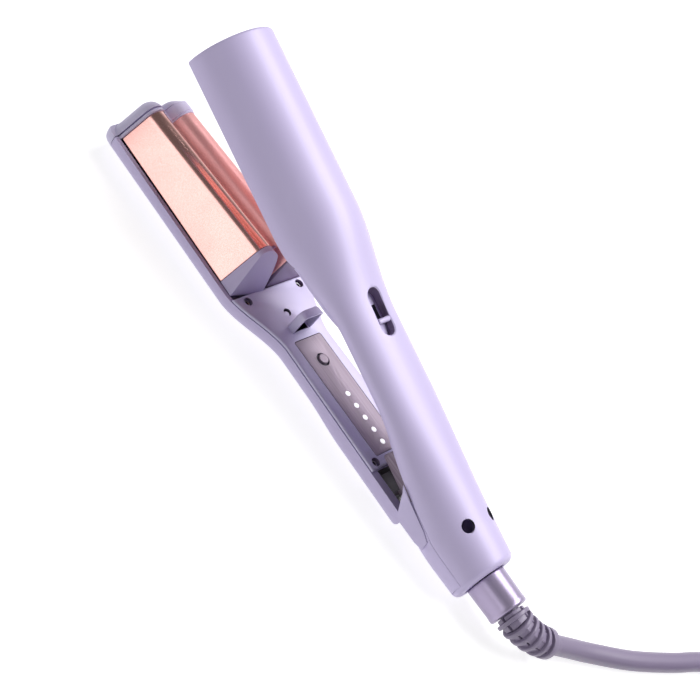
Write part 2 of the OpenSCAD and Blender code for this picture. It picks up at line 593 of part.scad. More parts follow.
// Swivel: collar outside the base, spindle through the bearing, and two contact rings inside
module cord_collar() color(lavender) swivel_frame() translate([0, 0, collar_x]) rotate_extrude() difference() {
    union() {
        square([collar_r - 1.5, collar_len]);
        translate([0, 0.4]) square([collar_r, collar_len - 1.9]);
        translate([collar_r - 1.5, collar_len - 1.5]) circle(r = 1.5);
    }
    translate([-1, -1]) square([journal_r - 0.8, collar_len + 2]);
    translate([-20, -1]) square([20, 40]);
}
module swivel_spindle() color(dark) swivel_frame() difference() {
    union() {
        translate([0, 0, swivel_x - 16]) cylinder(r = journal_r, h = 16.3);
        translate([0, 0, swivel_x - 4.6]) cylinder(r = journal_r + 2.4, h = 1.7);
    }
    translate([0, 0, swivel_x - 20]) cylinder(r = journal_r - 1.6, h = 30);
    for (i = [0, 1]) translate([0, 0, swivel_x - 12 + 4 * i - 0.6]) ring_cut(journal_r - 0.7, 2.8);
}
module ring_cut(r, h) difference() {
    cylinder(r = 20, h = h);
    translate([0, 0, -1]) cylinder(r = r, h = h + 2);
}
module slip_rings() color(copper) swivel_frame() for (i = [0, 1]) translate([0, 0, swivel_x - 12 + 4 * i - 0.5])
    difference() {
        cylinder(r = journal_r + 0.2, h = 2.6);
        translate([0, 0, -1]) cylinder(r = journal_r - 0.6, h = 5);
    }

// Tube along a route: rings stand square to the route, and up is a direction that it never takes
function unit(v) = v / norm(v);
function run_at(route, i) = unit(route[min(len(route) - 1, i + 1)] - route[max(0, i - 1)]);
module tube(route, r, sides, up = [0, 0, 1]) loft([for (i = [0:len(route) - 1])
    let (t = run_at(route, i), s = unit(cross(up, t)), u = cross(t, s), start = 180 / sides)
        [for (k = [0:sides - 1]) route[i] + r * (cos(start + 360 * k / sides) * s + sin(start + 360 * k / sides) * u)]]);
// Smooth curve through the chosen points, with parts rings between two of them
function curve_at(p0, p1, p2, p3, t) = 0.5 * (2 * p1 + (p2 - p0) * t + (2 * p0 - 5 * p1 + 4 * p2 - p3) * t * t
    + (3 * p1 - 3 * p2 + p3 - p0) * t * t * t);
function curve(route, parts) = let (n = len(route) - 1) concat([for (i = [0:n - 1], k = [0:parts - 1])
    curve_at(route[max(0, i - 1)], route[i], route[i + 1], route[min(n, i + 2)], k / parts)], [route[n]]);

module strain_relief() color(soft_grey) rest_frame() {
    line = curve(relief_route, 5);
    last = len(line) - 1;
    tube(line, cord_r + 0.6, 12);
    for (i = [0:relief_rings - 1]) let (k = round(i * last / (relief_rings - 0.4)), r = lerp(8, 6.6, i / relief_rings))
        translate(line[k]) orient(run_at(line, k)) cylinder(r = r, h = 2.4, $fn = 32);
    translate(line[last]) orient(run_at(line, last)) translate([0, 0, -3]) cylinder(r = 6.4, h = 3, $fn = 32);
}
module orient(d) rotate([0, acos(d[2]), atan2(d[1], d[0])]) children();

module cord_lead() color(soft_grey) rest_frame() tube(curve(lead_route, 3), cord_r, 10);

// Coil: spirals in on the lower layer, climbs where it turns back, spirals out above and comes down outside
coil_turns = turns_in + turns_climb + turns_out;
function coil_radius(n) = n < turns_in ? coil_r - n * coil_pitch
    : n < turns_in + turns_climb ? let (u = n - turns_in) coil_inner - coil_pitch * (u - u * u / turns_climb)
    : n < coil_turns ? coil_inner + (n - turns_in - turns_climb) * coil_pitch
    : coil_inner + turns_out * coil_pitch + tail_out * smooth(0, 0.7, (n - coil_turns) / turns_tail);
function coil_height(n) = n < coil_turns ? layer_step * min(1, max(0, (n - turns_in) / turns_climb))
    : lerp(layer_step, plug_z - coil_centre[2], smooth(0.45, 1, (n - coil_turns) / turns_tail));
function coil_point(n) = coil_centre
    + [coil_radius(n) * cos(coil_angle - 360 * n), coil_radius(n) * sin(coil_angle - 360 * n), coil_height(n)];
coil_loop = concat([coil_point(0.001), coil_point(0.01)],
    [for (i = [1:round((coil_turns + turns_tail) * loop_rings)]) coil_point(i / loop_rings)]);
coil_end = coil_loop[len(coil_loop) - 1];
tail_angle = coil_angle - 360 * (coil_turns + turns_tail);
tail_run = [sin(tail_angle), -cos(tail_angle), 0];
plug_at = coil_end + cord_d * tail_run;
coil_route = concat(coil_loop, [plug_at]);
// Least gap of the coil to itself, measured between points that lie more than a third of a loop apart
coil_gap = min([for (i = [0:len(coil_loop) - 9], j = [i + 8:len(coil_loop) - 1])
    point_gap(coil_loop[i], coil_loop[j], coil_loop[min(j + 1, len(coil_loop) - 1)])]) - cord_d;
function point_gap(p, a, b) = let (ab = b - a, t = norm(ab) < 0.001 ? 0 : min(1, max(0, (p - a) * ab / (ab * ab))))
    norm(p - a - t * ab);
echo(coil_gap = coil_gap);
module cord_coil() color(soft_grey) rest_frame() tube(coil_route, cord_r, 6);
tie_y = coil_centre[1] - 62.6;
module cord_tie() color(dark) rest_frame() translate([coil_centre[0] - 4, tie_y, 0]) difference() {
    translate([0, 0, 0.1]) cube([8, 30.8, coil_centre[2] + layer_step + cord_r + 0.8]);
    translate([-1, 0.7, 0.8]) cube([10, 29.4, coil_centre[2] + layer_step + cord_r - 0.7]);
}

// Generic plug with two round pins
plug_half = 13;
plug_h = 12;
module plug_frame() rest_frame() translate(plug_at) rotate([0, 0, atan2(tail_run[1], tail_run[0])]) children();
module plug_body() color(soft_grey) plug_frame() hull() {
    rotate([0, 90, 0]) cylinder(r = cord_r + 1.2, h = 1);
    translate([14, 0, 0]) rotate([0, 90, 0]) cylinder(r = plug_h / 2, h = 1);
    for (side = [-1, 1]) translate([24, side * (plug_half - plug_h / 2), 0]) rotate([0, 90, 0])
        cylinder(r = plug_h / 2, h = 10);
}
module plug_pins() color(steel) plug_frame() for (side = [-1, 1]) translate([34, side * 9.3, 0]) rotate([0, 90, 0])
    cylinder(r = 2, h = 19);

main_outer_shell();
main_inner_cover();
hinge_block();
base_cover();
base_ring();
upper_wave_plate();
upper_heat_spreader();
upper_heater();
upper_plate_carrier();
root_bulkhead();
lock_slider();
detent_spring();
hinge_pin();
hinge_springs();
power_board();
slip_contacts();
main_screws();
control_outer_shell();
control_inner_cover();
tip_cap();
lower_wave_plate();
ridge_end_blocks();
lower_heat_bars();
lower_heaters();
lower_plate_carrier();
thermal_fuse();
catch_socket();
control_strip();
power_button();
button_switch();
led_lenses();
control_board();
cover_screws();
cord_collar();
swivel_spindle();
slip_rings();
strain_relief();
cord_lead();
cord_coil();
cord_tie();
plug_body();
plug_pins();
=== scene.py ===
# %% [markdown]
# # A wave-type curling iron
# The iron has two arms on a hinge. The control arm lies on its back and carries two copper ridges, and the
# main arm stands open above it with the mating plate inside its barrel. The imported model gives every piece's
# place; this script gives the visible pieces their moulded forms and their finishes.

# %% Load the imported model
import json
from math import asin, atan2, copysign, cos, pi, radians, sin, sqrt, tan

import bmesh
import bpy
from mathutils import Matrix, Vector


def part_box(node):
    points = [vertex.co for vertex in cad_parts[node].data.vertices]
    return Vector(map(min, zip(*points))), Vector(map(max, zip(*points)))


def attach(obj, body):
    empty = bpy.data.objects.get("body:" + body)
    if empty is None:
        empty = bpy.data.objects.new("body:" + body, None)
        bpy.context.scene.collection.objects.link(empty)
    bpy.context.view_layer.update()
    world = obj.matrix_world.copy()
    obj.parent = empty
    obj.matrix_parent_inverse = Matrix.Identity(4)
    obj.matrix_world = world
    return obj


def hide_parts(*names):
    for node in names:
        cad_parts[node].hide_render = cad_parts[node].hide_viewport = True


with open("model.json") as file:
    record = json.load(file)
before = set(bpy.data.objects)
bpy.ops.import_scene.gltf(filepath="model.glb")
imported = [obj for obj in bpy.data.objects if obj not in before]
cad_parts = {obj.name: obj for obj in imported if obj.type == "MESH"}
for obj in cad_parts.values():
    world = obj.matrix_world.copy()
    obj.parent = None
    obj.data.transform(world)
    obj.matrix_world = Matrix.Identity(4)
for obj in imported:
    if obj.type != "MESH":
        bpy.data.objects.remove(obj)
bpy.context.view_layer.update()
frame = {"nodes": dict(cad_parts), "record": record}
print("pieces of the packed model:", len(frame["nodes"]))

# %% [markdown]
# ## Places and sizes
# All lengths are real millimetres, measured from the hinge axis with the iron closed. One matrix brings the
# control arm into the model's frame, and a second one also opens the main arm, as a hand would. The hinge
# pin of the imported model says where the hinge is, so the two can't drift apart.

# %% The two placing matrices
pin_low, pin_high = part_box("hinge_pin")
hinge = (pin_low + pin_high) / 2
hinge_z = hinge.z * 1000
open_angle = radians(13.5)
to_metres = Matrix.Scale(0.001, 4)
lift = Matrix.Translation((0, 0, hinge_z))
control_place = Matrix.Translation((hinge.x, 0, 0)) @ to_metres
main_place = control_place @ lift @ Matrix.Rotation(open_angle, 4, "Y") @ lift.inverted()
print("hinge axis at", [round(c, 4) for c in hinge])


# %% Small sums that the sections share
def smooth(a, b, x):
    t = min(1, max(0, (x - a) / (b - a)))
    return t * t * (3 - 2 * t)


def lerp(a, b, t):
    return a + (b - a) * t


def steps(a, b, n):
    return [a + (b - a) * i / n for i in range(n + 1)]


def power(value, exponent):
    return copysign(abs(value) ** exponent, value)


def circle(count):
    "The angles of points spread evenly over a full turn."
    return steps(0, 2 * pi, count)[:-1]


def cosd(degrees):
    return cos(radians(degrees))


def sind(degrees):
    return sin(radians(degrees))


# %% [markdown]
# ## Camera
# The photograph looks down on the open iron from the side of the controls, with the camera rolled so that
# the iron seems to stand up. A long lens keeps the two arms almost parallel in perspective. Turning the
# camera, and not the iron, leaves the part lying on the table as it does in use.

# %% Set the camera
azimuth = radians(15.64)
elevation = radians(39.62)
roll = radians(43.66)
aim = Vector((-0.0646 + hinge.x, 0, 0.02998))
distance = 0.8025
back = Vector((sin(azimuth) * cos(elevation), -cos(azimuth) * cos(elevation),
    sin(elevation)))
level = Vector((0, 0, 1)).cross(back).normalized()
rise = back.cross(level)
right = cos(roll) * level + sin(roll) * rise
up = cos(roll) * rise - sin(roll) * level
camera = bpy.data.objects.new("camera", bpy.data.cameras.new("camera"))
bpy.context.scene.collection.objects.link(camera)
camera.data.sensor_width = 36
camera.data.lens = 97.07
turned = Matrix((right, up, back)).transposed().to_4x4()
camera.matrix_world = Matrix.Translation(aim + back * distance) @ turned
bpy.context.scene.camera = camera
bpy.context.scene.view_settings.view_transform = "Standard"
print("camera at", [round(c, 3) for c in camera.location])

# %% [markdown]
# ## Floor and light
# The photograph has a white background with one soft shadow under the cord end. A wide floor that glows a
# little shows the camera plain white where no shadow falls. One broad soft box from behind makes the pale
# band on the round barrel, and a long low one lights the side of the controls.


# %% A white floor that keeps the shadow
def link(obj):
    bpy.context.scene.collection.objects.link(obj)
    return obj


def new_material(name):
    made = bpy.data.materials.new(name)
    made.use_nodes = True
    tree = made.node_tree
    return made, tree, tree.nodes["Principled BSDF"]


def put(node, values):
    "Sets inputs of a node by their names."
    for name, value in values.items():
        node.inputs[name].default_value = value


def background_rays(tree, hidden, shown):
    "A strength for the rays that show the background: from the camera, in a gloss, or through a clear part."
    rays = tree.nodes.new("ShaderNodeLightPath")
    total = rays.outputs["Is Camera Ray"]
    for name in ("Is Glossy Ray", "Is Transmission Ray"):
        either = tree.nodes.new("ShaderNodeMath")
        either.operation = "MAXIMUM"
        tree.links.new(total, either.inputs[0])
        tree.links.new(rays.outputs[name], either.inputs[1])
        total = either.outputs["Value"]
    level = tree.nodes.new("ShaderNodeMapRange")
    level.inputs["To Min"].default_value = hidden
    if isinstance(shown, bpy.types.NodeSocket):
        tree.links.new(shown, level.inputs["To Max"])
    else:
        level.inputs["To Max"].default_value = shown
    tree.links.new(total, level.inputs["Value"])
    return level.outputs["Result"]


floor_mesh = bmesh.new()
bmesh.ops.create_grid(floor_mesh, x_segments=2, y_segments=2, size=6)
floor = link(bpy.data.objects.new("floor", bpy.data.meshes.new("floor")))
floor_mesh.to_mesh(floor.data)
floor_mesh.free()
floor.data.transform(Matrix.Translation((0, 0, -0.0002)))
floor_paint, tree, shader = new_material("floor paint")
put(shader, {"Base Color": (0.5, 0.5, 0.5, 1), "Roughness": 0.9, "Specular IOR Level": 0.1,
    "Emission Color": (1, 1, 1, 1)})
tree.links.new(background_rays(tree, 0.5, 0.8), shader.inputs["Emission Strength"])
floor.data.materials.append(floor_paint)

# %% Studio world and lamps
world = bpy.data.worlds.new("studio")
bpy.context.scene.world = world
world.use_nodes = True
sky = world.node_tree
background = sky.nodes["Background"]
background.inputs["Color"].default_value = (1, 1, 1, 1)
where = sky.nodes.new("ShaderNodeTexCoord")
parts = sky.nodes.new("ShaderNodeSeparateXYZ")
sky.links.new(where.outputs["Generated"], parts.inputs["Vector"])
height = sky.nodes.new("ShaderNodeMapRange")
put(height, {"From Min": 0.1, "From Max": 0.6, "To Min": 1, "To Max": 0.15})
sky.links.new(parts.outputs["Z"], height.inputs["Value"])
sky.links.new(background_rays(sky, 0.1, height.outputs["Result"]), background.inputs["Strength"])


def soft_box(name, place, target, width, height, watts):
    lamp = bpy.data.lights.new(name, "AREA")
    lamp.shape = "RECTANGLE"
    lamp.size = width
    lamp.size_y = height
    lamp.energy = watts
    box = link(bpy.data.objects.new(name, lamp))
    box.location = place
    box.rotation_euler = (Vector(target) - Vector(place)).to_track_quat("-Z", "Y").to_euler()
    return box


middle = aim + Vector((0, 0, 0.03))
soft_box("back band", middle + Vector((0.16, 0.44, 0.88)) * 1.3, middle, 1.6, 0.7, 24.5)
soft_box("front key", middle + Vector((-0.34, -0.87, 0.36)) * 1.3, middle, 1.2, 0.45, 2)

# %% [markdown]
# ## Finishes
# The housings are satin lavender plastic with a faint pearl: a little metallic lustre under a thin clear
# coat. The cover and the cap are paler, and the collar a stronger pearl. Faces in shade get a darker lavender,
# the hinge block a darker mauve and the openings a near-black lining, all three painted shade. The plates
# have a rose copper coating with a fine speckle; the far ridge is painted pinker, a painted reflection of
# copper in copper with painted shade. The lenses have a faint painted glow. The strip is brushed along its
# length, and the cord is soft.


# %% Helpers for the node trees
def noise(tree, scale, detail, stretch=(1, 1, 1)):
    where = tree.nodes.new("ShaderNodeTexCoord")
    mapping = tree.nodes.new("ShaderNodeMapping")
    put(mapping, {"Scale": stretch})
    pattern = tree.nodes.new("ShaderNodeTexNoise")
    put(pattern, {"Scale": scale, "Detail": detail})
    tree.links.new(where.outputs["Object"], mapping.inputs["Vector"])
    tree.links.new(mapping.outputs["Vector"], pattern.inputs["Vector"])
    return pattern.outputs["Fac"]


def ramp(tree, source, low, high):
    colours = tree.nodes.new("ShaderNodeValToRGB")
    for stop, place, colour in zip(colours.color_ramp.elements, (0.3, 0.7), (low, high)):
        stop.position = place
        stop.color = (*colour, 1)
    tree.links.new(source, colours.inputs["Fac"])
    return colours.outputs["Color"]


def spread(tree, source, low, high):
    between = tree.nodes.new("ShaderNodeMapRange")
    put(between, {"From Min": 0.3, "From Max": 0.7, "To Min": low, "To Max": high})
    tree.links.new(source, between.inputs["Value"])
    return between.outputs["Result"]


def bumped(tree, shader, source, depth):
    bump = tree.nodes.new("ShaderNodeBump")
    put(bump, {"Strength": 0.3, "Distance": depth})
    tree.links.new(source, bump.inputs["Height"])
    tree.links.new(bump.outputs["Normal"], shader.inputs["Normal"])


def mixed(low, high, share):
    return tuple(lerp(a, b, share) for a, b in zip(low, high))


def shades(tree, source, colour, darker=0.12, paler=0.12):
    return ramp(tree, source, mixed(colour, (0, 0, 0), darker), mixed(colour, (1, 1, 1), paler))


def linear(red, green, blue):
    "A colour as it is seen on a screen, from 0 to 255, as the shader wants it."
    shares = (c / 255 for c in (red, green, blue))
    return tuple(c / 12.92 if c < 11 / 255 else ((c + 0.055) / 1.055) ** 2.4 for c in shares)


def moulded(name, colour, gloss, lustre, coat, grain, depth):
    "Moulded plastic: a colour that varies a little, and a fine grain in its gloss and its surface."
    made, tree, shader = new_material(name)
    tree.links.new(shades(tree, noise(tree, 9, 2), colour, 0.04, 0.05), shader.inputs["Base Color"])
    fine = noise(tree, grain, 3)
    tree.links.new(spread(tree, fine, gloss - 0.02, gloss + 0.03), shader.inputs["Roughness"])
    put(shader, {"Metallic": lustre, "Coat Weight": coat, "Coat Roughness": 0.18})
    bumped(tree, shader, fine, depth)
    return made


# %% The lavender housings and the soft cord
lavender = moulded("satin lavender plastic", linear(205, 193, 232), 0.48, 0.08, 0.1, 900, 0.00002)
pale_lavender = moulded("pale lavender inner cover", linear(212, 204, 236), 0.45, 0.05, 0.1, 900, 0.00002)
# A darker copy of the lavender for faces in shade: the far root block, the slot's walls and frame, the screw
# recesses. It is painted shade.
painted_shade_lavender = moulded("lavender with painted shade", linear(132, 114, 146), 0.42, 0.08, 0.1, 900, 0.00002)
pearl = moulded("pearl lavender collar", linear(172, 158, 190), 0.34, 0.6, 0.1, 1200, 0.000001)
soft = moulded("soft lavender grey cord", linear(136, 123, 152), 0.4, 0.0, 0.1, 1500, 0.00001)
# A near-black lining for the walls of openings, hollows and recesses: painted shade, not a colour of the plastic.
painted_shade = moulded("near-black painted shade lining", linear(58, 48, 66), 0.6, 0.0, 0.0, 600, 0.00002)
dark_plastic = moulded("dark plastic", linear(48, 44, 52), 0.5, 0.0, 0.0, 700, 0.00002)
ceramic = moulded("white ceramic", linear(236, 232, 224), 0.55, 0.0, 0.0, 700, 0.00002)
board = moulded("green circuit board", linear(38, 96, 66), 0.4, 0.0, 0.3, 500, 0.00002)


# %% Rose copper: polished, with a fine speckle in the coating
def copper_coating(name, colour, gloss, metal=1.0):
    made, tree, shader = new_material(name)
    speckle = noise(tree, 2600, 2)
    tree.links.new(shades(tree, speckle, colour), shader.inputs["Base Color"])
    drift = noise(tree, 60, 3)
    tree.links.new(spread(tree, drift, gloss, gloss + 0.06), shader.inputs["Roughness"])
    put(shader, {"Metallic": metal})
    bumped(tree, shader, speckle, 0.00001)
    return made


copper = copper_coating("rose copper coating", linear(244, 184, 176), 0.18)
# The far ridge is the same copper, painted a deeper pink and made rougher: a painted reflection of copper in
# copper, with painted shade.
copper_painted_pink = copper_coating("copper with painted pink reflection", linear(248, 178, 178), 0.42, 0.7)


# %% Brushed metal: the grain is noise drawn out along the strip
def brushed(name, colour, gloss, along, metal=0.85):
    made, tree, shader = new_material(name)
    grain = noise(tree, 2200, 3, along)
    tree.links.new(shades(tree, grain, colour), shader.inputs["Base Color"])
    tree.links.new(spread(tree, grain, gloss - 0.03, gloss + 0.05), shader.inputs["Roughness"])
    put(shader, {"Metallic": metal})
    bumped(tree, shader, grain, 0.000006)
    return made


# The hinge block and its knuckle get a dark mauve that stands for the shade they sit in: painted shade.
painted_shade_mauve = brushed("mauve with painted shade", linear(118, 98, 120), 0.5, (0.01, 1, 1), 0.2)
mauve = brushed("brushed mauve metal", linear(172, 154, 170), 0.5, (0.01, 1, 1), 0.3)
steel = brushed("turned steel", linear(190, 188, 192), 0.3, (1, 1, 0.05))
brass = brushed("plain brass", linear(214, 180, 118), 0.3, (1, 1, 0.1))
aluminium = brushed("milled aluminium", linear(205, 206, 208), 0.38, (0.05, 1, 1))

# %% Light lenses: frosted, with a faint glow that is painted light for the studio light they catch
lens, tree, shader = new_material("frosted lens with painted glow")
frost = noise(tree, 1800, 2)
tree.links.new(ramp(tree, frost, (0.86, 0.86, 0.9), (1, 1, 1)), shader.inputs["Base Color"])
put(shader, {"Roughness": 0.3, "Emission Color": (1, 1, 1, 1), "Emission Strength": 0.7})
finishes = {"lavender_shell": lavender, "copper_plate": copper, "mauve_metal": mauve, "soft_cord": soft,
    "steel": steel, "aluminium": aluminium, "ceramic": ceramic, "dark_plastic": dark_plastic,
    "circuit_board": board, "contact_brass": brass, "lens": lens}
slot_of = {made.name: slot for slot, made in finishes.items()}
# The materials with painted shade and painted reflection go into the slots of the plain finishes.
slot_of.update({copper_painted_pink.name: "copper_plate", painted_shade.name: "dark_plastic",
    painted_shade_mauve.name: "mauve_metal"})
slot_of.update({made.name: "lavender_shell" for made in (painted_shade_lavender, pale_lavender, pearl)})
print("finishes:", len(bpy.data.materials))

# %% [markdown]
# ## Making housings from rings
# A moulded housing changes its section slowly from one end to the other. The way to make it is to start
# from a circle of points, lay those points on the first section, extrude the row, and lay the new row on
# the next section. The operator makes all faces, and the section is only a formula.


# %% Rows of points laid on sections
def lay(row, points):
    for vertex, point in zip(row, points):
        vertex.co = point


def loft(rings, closed=True, capped=False):
    made = bmesh.new()
    count = len(rings[0])
    row = bmesh.ops.create_circle(made, segments=count, radius=1)["verts"]
    if not closed:
        bmesh.ops.delete(made, geom=[made.edges.get((row[-1], row[0]))], context="EDGES_FACES")
    lay(row, rings[0])
    if capped:
        bmesh.ops.contextual_create(made, geom=row)
    for points in rings[1:]:
        pairs = [(row[i], row[(i + 1) % count]) for i in range(count if closed else count - 1)]
        place = {vertex: i for i, vertex in enumerate(row)}
        grown = bmesh.ops.extrude_edge_only(made, edges=[made.edges.get(pair) for pair in pairs])
        fresh = [None] * count
        for vertex in (v for v in grown["geom"] if isinstance(v, bmesh.types.BMVert)):
            old = next(e.other_vert(vertex) for e in vertex.link_edges if e.other_vert(vertex) in place)
            fresh[place[old]] = vertex
        row = fresh
        lay(row, points)
    if capped:
        bmesh.ops.contextual_create(made, geom=row)
    return made


def point_out(made, centre):
    "Turns the faces of an open skin away from a line that runs along X at the height centre(x)."
    made.normal_update()
    total = 0
    for face in made.faces:
        spot = face.calc_center_median()
        total += face.calc_area() * face.normal.dot(spot - Vector((spot.x, 0, centre(spot.x))))
    if total < 0:
        bmesh.ops.reverse_faces(made, faces=made.faces)


def settle(obj):
    "Applies the modifiers, and keeps the result as the piece's own mesh."
    graph = bpy.context.evaluated_depsgraph_get()
    kept = bpy.data.meshes.new_from_object(obj.evaluated_get(graph))
    obj.modifiers.clear()
    obj.data = kept


def finish_piece(obj, place, body, *stands_for, sharp=35):
    obj.data.transform(place)
    obj.data.shade_smooth()
    obj.data.set_sharp_from_angle(angle=radians(sharp))
    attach(obj, body)
    if stands_for:
        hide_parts(*stands_for)
    return obj


def on_control(obj, *stands_for, sharp=35):
    return finish_piece(obj, control_place, "control_arm", *stands_for, sharp=sharp)


def on_main(obj, *stands_for, sharp=35):
    return finish_piece(obj, main_place, "main_arm", *stands_for, sharp=sharp)


def shell(name, made, material, wall=0):
    name = name.replace(" ", "_")
    obj = link(bpy.data.objects.new(name, bpy.data.meshes.new(name)))
    made.to_mesh(obj.data)
    made.free()
    obj.data.materials.append(material)
    if wall:
        thick = obj.modifiers.new("wall", "SOLIDIFY")
        thick.thickness = wall
        thick.offset = -1
        thick.use_even_offset = True
        settle(obj)
    return obj


def solid(name, made, material):
    bmesh.ops.recalc_face_normals(made, faces=made.faces)
    return shell(name, made, material)


def filled(name, rings, material):
    "A closed solid through rings, with a cap at each end."
    return solid(name, loft(rings, capped=True), material)


def skin_of(name, rings, centre, material, wall=0):
    "An open skin through rows of points, turned outwards from the line centre(x)."
    made = loft(rings, closed=False)
    point_out(made, centre)
    return shell(name, made, material, wall)


def carve(obj, *cutters, mode="DIFFERENCE"):
    "Cuts the cutters out of a piece, one after the other, and clears them away."
    for cutter in cutters:
        cut = obj.modifiers.new("cut", "BOOLEAN")
        cut.operation = mode
        cut.solver = "EXACT"
        cut.material_mode = "TRANSFER"
        cut.object = cutter
        settle(obj)
        bpy.data.objects.remove(cutter)
    return obj


def soften(obj, width, segments=2, angle=40):
    edge = obj.modifiers.new("edge", "BEVEL")
    edge.width = width
    edge.segments = segments
    edge.limit_method = "ANGLE"
    edge.angle_limit = radians(angle)
    edge.harden_normals = False
    settle(obj)
    return obj


def block(low, high):
    made = bmesh.new()
    bmesh.ops.create_cube(made, size=1)
    low, high = Vector(low), Vector(high)
    bmesh.ops.scale(made, verts=made.verts, vec=high - low)
    bmesh.ops.translate(made, verts=made.verts, vec=(low + high) / 2)
    return made


def rod(radius, start, end, segments=48):
    "A round bar between two points."
    made = bmesh.new()
    start, end = Vector(start), Vector(end)
    run = end - start
    bmesh.ops.create_cone(made, cap_ends=True, segments=segments, radius1=radius, radius2=radius,
        depth=run.length)
    turn = run.to_track_quat("Z", "Y").to_matrix()
    bmesh.ops.rotate(made, verts=made.verts, matrix=turn)
    bmesh.ops.translate(made, verts=made.verts, vec=(start + end) / 2)
    return made


# %% [markdown]
# ## The section of the control arm
# The control arm is a shallow tub: a wide head under the plates, a narrow neck, and a tail round the hinge.
# Its section is a superellipse, which has a flatter back and rounder corners than an ellipse.

# %% Sizes of the control arm, in millimetres from the hinge axis
tip_x = -208
lip_x = -202
plate_x = -200
plate_end = -121
ramp_end = -109.5
neck_x0, neck_x1 = -116, -80
head_tip_half, head_root_half, neck_half, tail_half = 22.8, 25, 14.4, 16.5
tail_x0, tail_x1, tail_x = -60, -36, -17
rim_z = 13
face_z = 14.5
wall = 2
round_n = 2.45
back_sink = 0.35


def rim_height(x):
    return rim_z


def control_half(x):
    head = lerp(head_tip_half, head_root_half, (x - tip_x) / (neck_x0 - tip_x))
    shaft = lerp(neck_half, tail_half, max(0, (x - neck_x1) / -neck_x1))
    return lerp(head, shaft, smooth(neck_x0, neck_x1, x))


def back_z(x):
    return 2 * smooth(neck_x0, neck_x1, x) * (1 - smooth(tail_x0, tail_x1, x)) - back_sink


def control_curve(x, inset=0, n=64):
    half = control_half(x) - inset
    depth = rim_z - back_z(x) - inset
    points = []
    for i in range(n + 1):
        t = pi * i / n
        across = half * power(cos(t), 2 / round_n)
        points.append(Vector((x, across, max(0, rim_z - depth * max(0, sin(t)) ** (2 / round_n)))))
    return points


# %% The tub of the control arm
stations = [lip_x] + steps(-190, neck_x0, 8) + steps(neck_x0 + 2, neck_x1, 17)
stations += steps(tail_x0 - 10, tail_x, 20)
tub = skin_of("control tub", [control_curve(x) for x in stations], rim_height, lavender, wall)
print("control tub:", len(tub.data.polygons), "faces")


# %% Its tail is rounded about the hinge, and hollow between two cheeks
tail_r, tail_gap = 7, 12.2


def tail_round(x):
    return sqrt(max(0, tail_r * tail_r - x * x))


def tail_low(x):
    tangent_x, slope = 1.49, tan(radians(12.3))
    return max(0, -1 + (x + 13) * slope) if x < tangent_x else hinge_z - tail_round(x)


def tail_ring(x):
    high = min(rim_z, hinge_z + tail_round(x)) if x > 0 else rim_z
    return [Vector((x, p.y, min(high, max(p.z, tail_low(x))))) for p in control_curve(x, 0, 48)]


tail_stations = steps(tail_x - 0.5, 0, 10) + steps(1, tail_r - 0.1, 10)
tail = filled("control tail", [tail_ring(x) for x in tail_stations], lavender)
# The cutters line the hollow, the trough and the round cut with near-black painted shade.
hollow = solid("hollow", block((tail_x + 1, -tail_gap, hinge_z), (20, tail_gap, 30)), painted_shade)
trough = solid("trough", block((tail_x + 1, -tail_gap, wall), (0, tail_gap, 30)), painted_shade)
round_cut = solid("round cut", rod(5.6, (0, -tail_gap, hinge_z), (0, tail_gap, hinge_z)), painted_shade)
carve(tail, hollow, trough, round_cut)
soften(tail, 0.35)
on_control(tub, "control_outer_shell")
on_control(tail, "control_outer_shell")

# %% [markdown]
# ## The wave profile
# Each plate follows one curve: flank, crest, valley, crest, flank, all joined by tangents at 60 degrees. A
# second surface at a fixed distance from the first has larger crests and a smaller valley, so the same
# formula gives the lower plate, the gap, the upper plate and the front cap.

# %% Points of the profile, and the height of the crests along the arm
pitch, crest_r, valley_r = 15.5, 5.8, 2
crest_top, crest_slope = 29.3, tan(radians(3))
plate_t, plate_gap = 1.2, 0.7
plate_foot = rim_z + 0.4
flank = radians(60)
both_r = crest_r + valley_r
valley_z = both_r * cos(flank) - (pitch / 2 - both_r * sin(flank)) * tan(flank)


def crest_z(x):
    return crest_top - crest_r + (x - plate_x) * crest_slope


def arc(y, z, r, a, b, n):
    return [(y + r * cosd(t), z + r * sind(t)) for t in steps(a, b, n)]


def wave_points(x, grow, foot):
    "The profile at a station, grown by a distance, down to the height foot at both sides."
    r, v, s = crest_r + grow, valley_r - grow, pitch / 2
    low = crest_z(x) - foot
    start = s + r * cosd(30)
    drop = low + r * sind(30)
    side = [(start + drop * f / tan(flank), r * 0.5 - drop * f) for f in (1, 0.97, 0.6, 0.3, 0.06)]
    half = side + arc(s, 0, r, 30, 150, 24)
    dip = arc(0, valley_z, v, -30, -90, 8) if v > 0.05 else [(0, valley_z - 2 * v)]
    half += [p for p in dip if p[0] > 0.001]
    whole = half + [(0, dip[-1][1])] + [(-y, z) for y, z in reversed(half)]
    return [Vector((x, y, crest_z(x) + z)) for y, z in whole]


def far_points(x, grow, foot):
    "The half of the profile that lies away from the controls, from its foot to the middle of the valley."
    return [p for p in wave_points(x, grow, foot) if p.y > -0.001]


def near_points(x, grow, foot):
    return [p for p in wave_points(x, grow, foot) if p.y < 0.001]


# %% The lower plate: a rose copper skin over each ridge, and the far one reaches further towards the hinge
far_start, far_end = -195.5, -113.3
plate_stations = steps(plate_x, plate_end, 8)
near_plate = skin_of("near wave plate", [near_points(x, 0, plate_foot) for x in plate_stations],
    rim_height, copper, plate_t)
# The far ridge's plate is painted a deeper pink: a painted reflection of copper in copper, with painted shade.
far_plate = skin_of("far wave plate", [far_points(x, 0, plate_foot) for x in plate_stations],
    rim_height, copper_painted_pink, plate_t)
for plate in (near_plate, far_plate):
    on_control(soften(plate, 0.25, 3), "lower_wave_plate", sharp=50)


